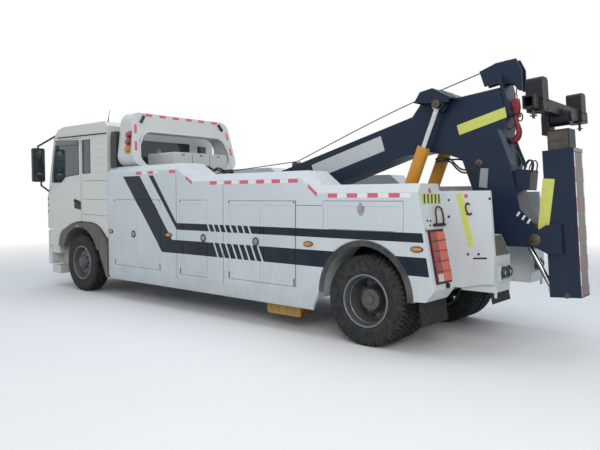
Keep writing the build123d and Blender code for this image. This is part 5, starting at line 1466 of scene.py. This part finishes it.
WING_SIDE = 0.760
LAMP_BARS = (0.935, 1.045, 1.155, 1.265)
LAMP_FACE = 0.0295
HAZARD_LOW, HAZARD_HIGH, HAZARD_NEAR, HAZARD_FAR = 1.668, 1.778, 1.200, 0.785
WING_PLATE = ((-0.900, 1.780), (-0.976, 1.784), (-1.124, 1.206), (-1.062, 1.192))
# Outline of the black sheet that is the painted shade in the wing's slot
WING_SLOT_SHADE = ((-1.115, 1.058), (-1.270, 1.070), (-1.272, 1.090), (-1.117, 1.078))
WING_BOLTS = ((-1.295, 1.722), (-1.055, 1.111), (-1.177, 1.119), (-0.800, 1.250), (-0.820, 1.520))
SOCKET_CUP = (
    (0, 0.062), (0.012, 0.060), (0.020, 0.050), (0.034, 0.046), (0.036, 0.038), (0.020, 0.036), (0.020, 0.0),
)
GRAB_BAR = (
    # y, z and distance from the rear face along the bar
    (1.000, 1.440, 0.0), (1.000, 1.460, 0.034), (0.996, 1.634, 0.034), (0.840, 1.634, 0.034),
    (0.836, 1.460, 0.034), (0.836, 1.440, 0.0),
)
HOOK_REACH = 0.046


class DressTail(bpy.types.Operator):
    """Fit the lamps' gaskets, plates, reflectors, hooks, sockets and steps of the tail"""

    bl_idname = "truck.dress_tail"
    bl_label = "Tail fittings"

    def execute(self, context):
        gasket = Shape().plate(tail_patch(0.855, 1.190, 0.805, 1.385), 0.014, REARWARDS)
        for z in LAMP_BARS:
            gasket.plate(tail_patch(0.866, 1.177, z, z + 0.007, LAMP_FACE), 0.003, REARWARDS)
        gasket.turned(((0, 0.032), (0.022, 0.030), (0.026, 0.024), (0.018, 0.018)), tail_point(0.957, 0.772),
                      REARWARDS, 24)
        bar = [tail_point(y, 1.435, 0.012) for y in (0.780, 0.800, 1.030, 1.050)]
        gasket.tube(bar, [0.012, 0.017, 0.017, 0.012], 10)
        for y, z in ((1.150, 1.486), (1.108, 1.433), (1.085, 1.479)):
            gasket.turned(((0, 0.013), (0.006, 0.012), (0.009, 0.0)), tail_point(y, z), REARWARDS, 14)
        gasket.mirror().piece("tail_lamp_gaskets", "black_rubber", "chassis")
        clear = Shape().plate(tail_patch(1.056, 1.170, 0.835, 0.915, LAMP_FACE), 0.003, REARWARDS)
        clear.mirror().piece("reversing_lenses", "clear_lens", "chassis")
        bar = Shape().tube(curved([tail_point(*spot) for spot in GRAB_BAR]), 0.010, 10)
        bar.mirror().piece("tail_grab_bars", "rusty_steel", "chassis")
        plate, slashes = Shape(), Shape()
        plate.plate(tail_patch(HAZARD_NEAR, HAZARD_FAR, HAZARD_LOW, HAZARD_HIGH), 0.003, REARWARDS)
        low, high = HAZARD_LOW + 0.004, HAZARD_HIGH - 0.004
        for k in range(5):
            y = HAZARD_NEAR - 0.030 - 0.082 * k
            corners = ((y, low), (y - 0.036, low), (y - 0.066, high), (y - 0.030, high))
            slashes.plate([tail_point(a, z, 0.003) for a, z in corners], 0.0006, REARWARDS)
        plate.mirror().piece("hazard_plates", "plate_yellow", "chassis")
        slashes.mirror().piece("hazard_slashes", "plate_black", "chassis")
        reds = Shape()
        for y, z, half in ((0.990, 1.812, 0.024), (1.212, 1.382, 0.018)):
            reds.plate(tail_patch(y - half, y + half, z - half, z + half), 0.004, REARWARDS)
        corners = ((-1.044, 1.732), (-1.004, 1.732), (-1.004, 1.772), (-1.044, 1.772))
        reds.plate(beside(WING_SIDE, corners), 0.004, OUT)
        reds.mirror().piece("tail_reflectors", "tape_red", "chassis")
        strip = Shape().plate(beside(WING_SIDE, WING_PLATE), 0.002, OUT)
        strip.mirror().piece("wing_plates", "plate_yellow", "chassis")
        dark, pale = Shape(), Shape()
        dark.turned(((-0.001, 0.014), (0.0012, 0.013), (0.0012, 0.0)), at(-0.818, WING_SIDE, 1.707), OUT, 18)
        # The wing's slot is a black sheet on the plate: painted shade where the slot is open.
        dark.plate(beside(WING_SIDE, WING_SLOT_SHADE), 0.001, OUT)
        for y in (0.430, 0.576):
            spot = at(-1.3765, y, 0.918)
            dark.turned(SOCKET_CUP, spot, REARWARDS, 10)
            dark.block(at(-1.392, y - 0.030, 0.970), at(-1.376, y + 0.030, 0.984))
            pale.turned(((0.019, 0.030), (0.026, 0.026), (0.027, 0.0)), spot, REARWARDS, 20)
        dark.mirror().piece("tail_sockets_and_slot_shade", "black_plastic", "chassis")
        pale.mirror().piece("socket_inserts", "plate_white", "chassis")
        path = []
        for turn in map(math.radians, range(50, 321, 18)):
            back = HOOK_REACH * (0.7 * math.cos(turn) - 0.3 * math.sin(turn))
            path.append(at(-1.061 - back, WING_SIDE + 0.012, 1.610 + HOOK_REACH * 1.35 * math.sin(turn)))
        hook = Shape().tube(path, 0.009, 8)
        hook.tube([at(-1.045, WING_SIDE - 0.002, 1.555), at(-1.045, WING_SIDE + 0.012, 1.552)], 0.011, 8)
        for spot in beside(WING_SIDE - 0.0005, WING_BOLTS):
            hook.bolt(spot, OUT, 0.020, 0.010)
        hook.mirror().piece("wing_hooks_and_bolts", "rusty_steel", "chassis")
        corners = [at(-1.253, y, 1.314) for y in (0.345, 0.705)]
        corners += [at(-1.352, y, 1.106) for y in (0.705, 0.345)]
        grip = Shape().plate(corners, 0.003, (-1, 0, 0.5))
        for k in range(7):
            z = 1.300 - 0.030 * k
            x = -1.253 - (1.320 - z) / 0.220 * 0.105
            grip.tube([at(x, y, z) for y in (0.360, 0.690)], 0.005, 6)
        grip.mirror().piece("step_grip_plates", "gritted_plate", "chassis")
        post = Shape().tube([at(-1.350, 0.700, z) for z in (0.760, 0.650)], 0.016, 12)
        post.mirror().piece("step_posts", "box_white", "chassis")
        return {"FINISHED"}


# Underside fittings

STRAP_HEAD = 0.492
FLAP_SECTION = ((0, 0.620), (0, 1.215), (-0.008, 1.215), (-0.008, 0.620))
SKID_OUTLINE = (
    (1.100, 0.190), (1.130, 0.176), (1.670, 0.176), (1.700, 0.200), (1.700, 0.342), (1.100, 0.342),
)


class DressUnderside(bpy.types.Operator):
    """Hang the skid box, mud flaps and their straps under the body"""

    bl_idname = "truck.dress_underside"
    bl_label = "Underside fittings"

    def execute(self, context):
        box = Shape().slab(SKID_OUTLINE, 0.920, 1.100)
        for x in (1.190 + 0.140 * k for k in range(4)):
            box.block(at(x, 1.098, 0.200), at(x + 0.025, 1.108, 0.326))
        box.mirror().piece("skid_boxes", "mustard_paint", "chassis", bevel=0.004)
        straps = Shape()
        for x in (1.180, 1.600):
            for y in (0.940, 1.074):
                straps.block(at(x - 0.020, y, 0.338), at(x + 0.020, y + 0.006, STRAP_HEAD))
        for x in (0.900, 0.967):
            straps.tube(beside(1.080, ((x, STRAP_HEAD), (x, 0.345), (x + 0.128, 0.190))), 0.013, 8)
        straps.mirror().piece("skid_box_straps", "rusty_steel", "chassis")
        rows = []
        for share in (k / 8 for k in range(9)):
            x, z = -0.700 - 0.050 * share ** 2, 0.770 - 0.440 * share
            rows.append([at(x + back, y, z) for back, y in FLAP_SECTION])
        Shape().skin(rows).mirror().piece("mud_flaps", "black_rubber", "chassis")
        return {"FINISHED"}


# Stage

CAMERA_FROM = (-3.96, 6.91, 1.733)
CAMERA_TURN = (87.41, 0.10, -138.94)
CAMERA_LENS = 35.78
FLOOR_HALF = 60.0


def floor_finish():
    """Pale poured floor, which fades to plain white far from the truck."""
    material, tree, shader = started("studio_floor", Specular_IOR_Level=0.2)
    shade = clouded(tree, linear("#eef0f1"), linear("#e9ebec"), 1500, 2.0)
    finish_with(tree, shader, shade, 0.8)
    away = add(tree, "VectorMath LENGTH", (add(tree, "TexCoord", out="Object"),), "Value")
    far = add(tree, "MapRange", (away, 7.0, 17.0))
    rays = add(tree, "LightPath").node.outputs
    seen = add(tree, "Math MAXIMUM", (rays["Is Camera Ray"], rays["Is Glossy Ray"]))
    share = add(tree, "Math MULTIPLY", (far, seen))
    white = add(tree, "Emission", ((1, 1, 1, 1), 1.0))
    blend = add(tree, "MixShader", (share, shader.outputs[0], white))
    tree.links.new(blend, tree.nodes["Material Output"].inputs[0])
    return material


def soft_light(name, spot, target, wide, tall, watts, colour):
    """A soft box aimed at a point."""
    lamp = bpy.data.lights.new(name, "AREA")
    lamp.shape = "RECTANGLE"
    lamp.size = wide
    lamp.size_y = tall
    lamp.energy = watts
    lamp.color = linear(colour)[:3]
    thing = bpy.data.objects.new(name, lamp)
    thing.location = spot
    thing.rotation_euler = (Vector(target) - Vector(spot)).to_track_quat("-Z", "Y").to_euler()
    bpy.context.scene.collection.objects.link(thing)


class SetStage(bpy.types.Operator):
    """Lay the floor, hang the lights and place the camera"""

    bl_idname = "truck.set_stage"
    bl_label = "Set the stage"

    def execute(self, context):
        scene = context.scene
        scene.view_settings.view_transform = "Standard"
        data = bpy.data.meshes.new("studio_floor")
        corners = [(x * FLOOR_HALF, y * FLOOR_HALF, 0) for x, y in ((-1, -1), (1, -1), (1, 1), (-1, 1))]
        data.from_pydata(corners, [], [(0, 1, 2, 3)])
        data.materials.append(floor_finish())
        floor = bpy.data.objects.new("studio_floor", data)
        scene.collection.objects.link(floor)

        world = bpy.data.worlds.new("studio")
        world.use_nodes = True
        scene.world = world
        tree = world.node_tree
        rays = add(tree, "LightPath").node.outputs
        seen = add(tree, "Math MAXIMUM", (rays["Is Camera Ray"], rays["Is Glossy Ray"]))
        seen = add(tree, "Math MAXIMUM", (seen, rays["Is Transmission Ray"]))
        back = tree.nodes["Background"]
        sky = add(tree, "Mix", {0: seen, 6: linear("#dfe7f0"), 7: (1, 1, 1, 1)}, **COLOUR_MIX)
        tree.links.new(sky, back.inputs[0])
        tree.links.new(add(tree, "MapRange", (seen, 0.0, 1.0, 0.62, 1.0)), back.inputs[1])

        soft_light("sky_panel", (0, 0, 9.0), (0, 0, 0), 14.0, 9.0, 480, "#f4f7ff")
        soft_light("key_panel", (-9.0, 9.5, 6.5), (0, 0.5, 1.2), 6.0, 4.0, 560, "#fff6ea")

        lens = bpy.data.cameras.new("camera")
        lens.lens = CAMERA_LENS
        lens.sensor_width = 36.0
        lens.clip_end = 200.0
        camera = bpy.data.objects.new("camera", lens)
        camera.location = at(*CAMERA_FROM)
        camera.rotation_euler = [math.radians(a) for a in CAMERA_TURN]
        scene.collection.objects.link(camera)
        scene.camera = camera
        return {"FINISHED"}


class TruckPanel(bpy.types.Panel):
    """Buttons for the truck's steps"""

    bl_idname = "VIEW3D_PT_truck"
    bl_label = "Recovery truck"
    bl_space_type = "VIEW_3D"
    bl_region_type = "UI"
    bl_category = "Recovery truck"

    def draw(self, context):
        for step in STEPS:
            self.layout.operator(step.bl_idname)


STEPS = (PaintNodes, FitTyres, FitWheels, LayTapes, FitLockers, FitCab, FitHeadboard, DressBoom, ReeveRope,
         DressWinch, DressUnderlift, DressTail, DressUnderside, SetStage)
CLASSES = (TruckSettings, *STEPS, TruckPanel)


def register():
    for cls in CLASSES:
        bpy.utils.register_class(cls)
    bpy.types.Scene.truck = bpy.props.PointerProperty(type=TruckSettings)


def unregister():
    del bpy.types.Scene.truck
    for cls in reversed(CLASSES):
        bpy.utils.unregister_class(cls)


def main():
    """Build the whole truck."""
    register()
    for step in STEPS:
        group, name = step.bl_idname.split(".")
        getattr(getattr(bpy.ops, group), name)()


if __name__ == "__main__":
    main()
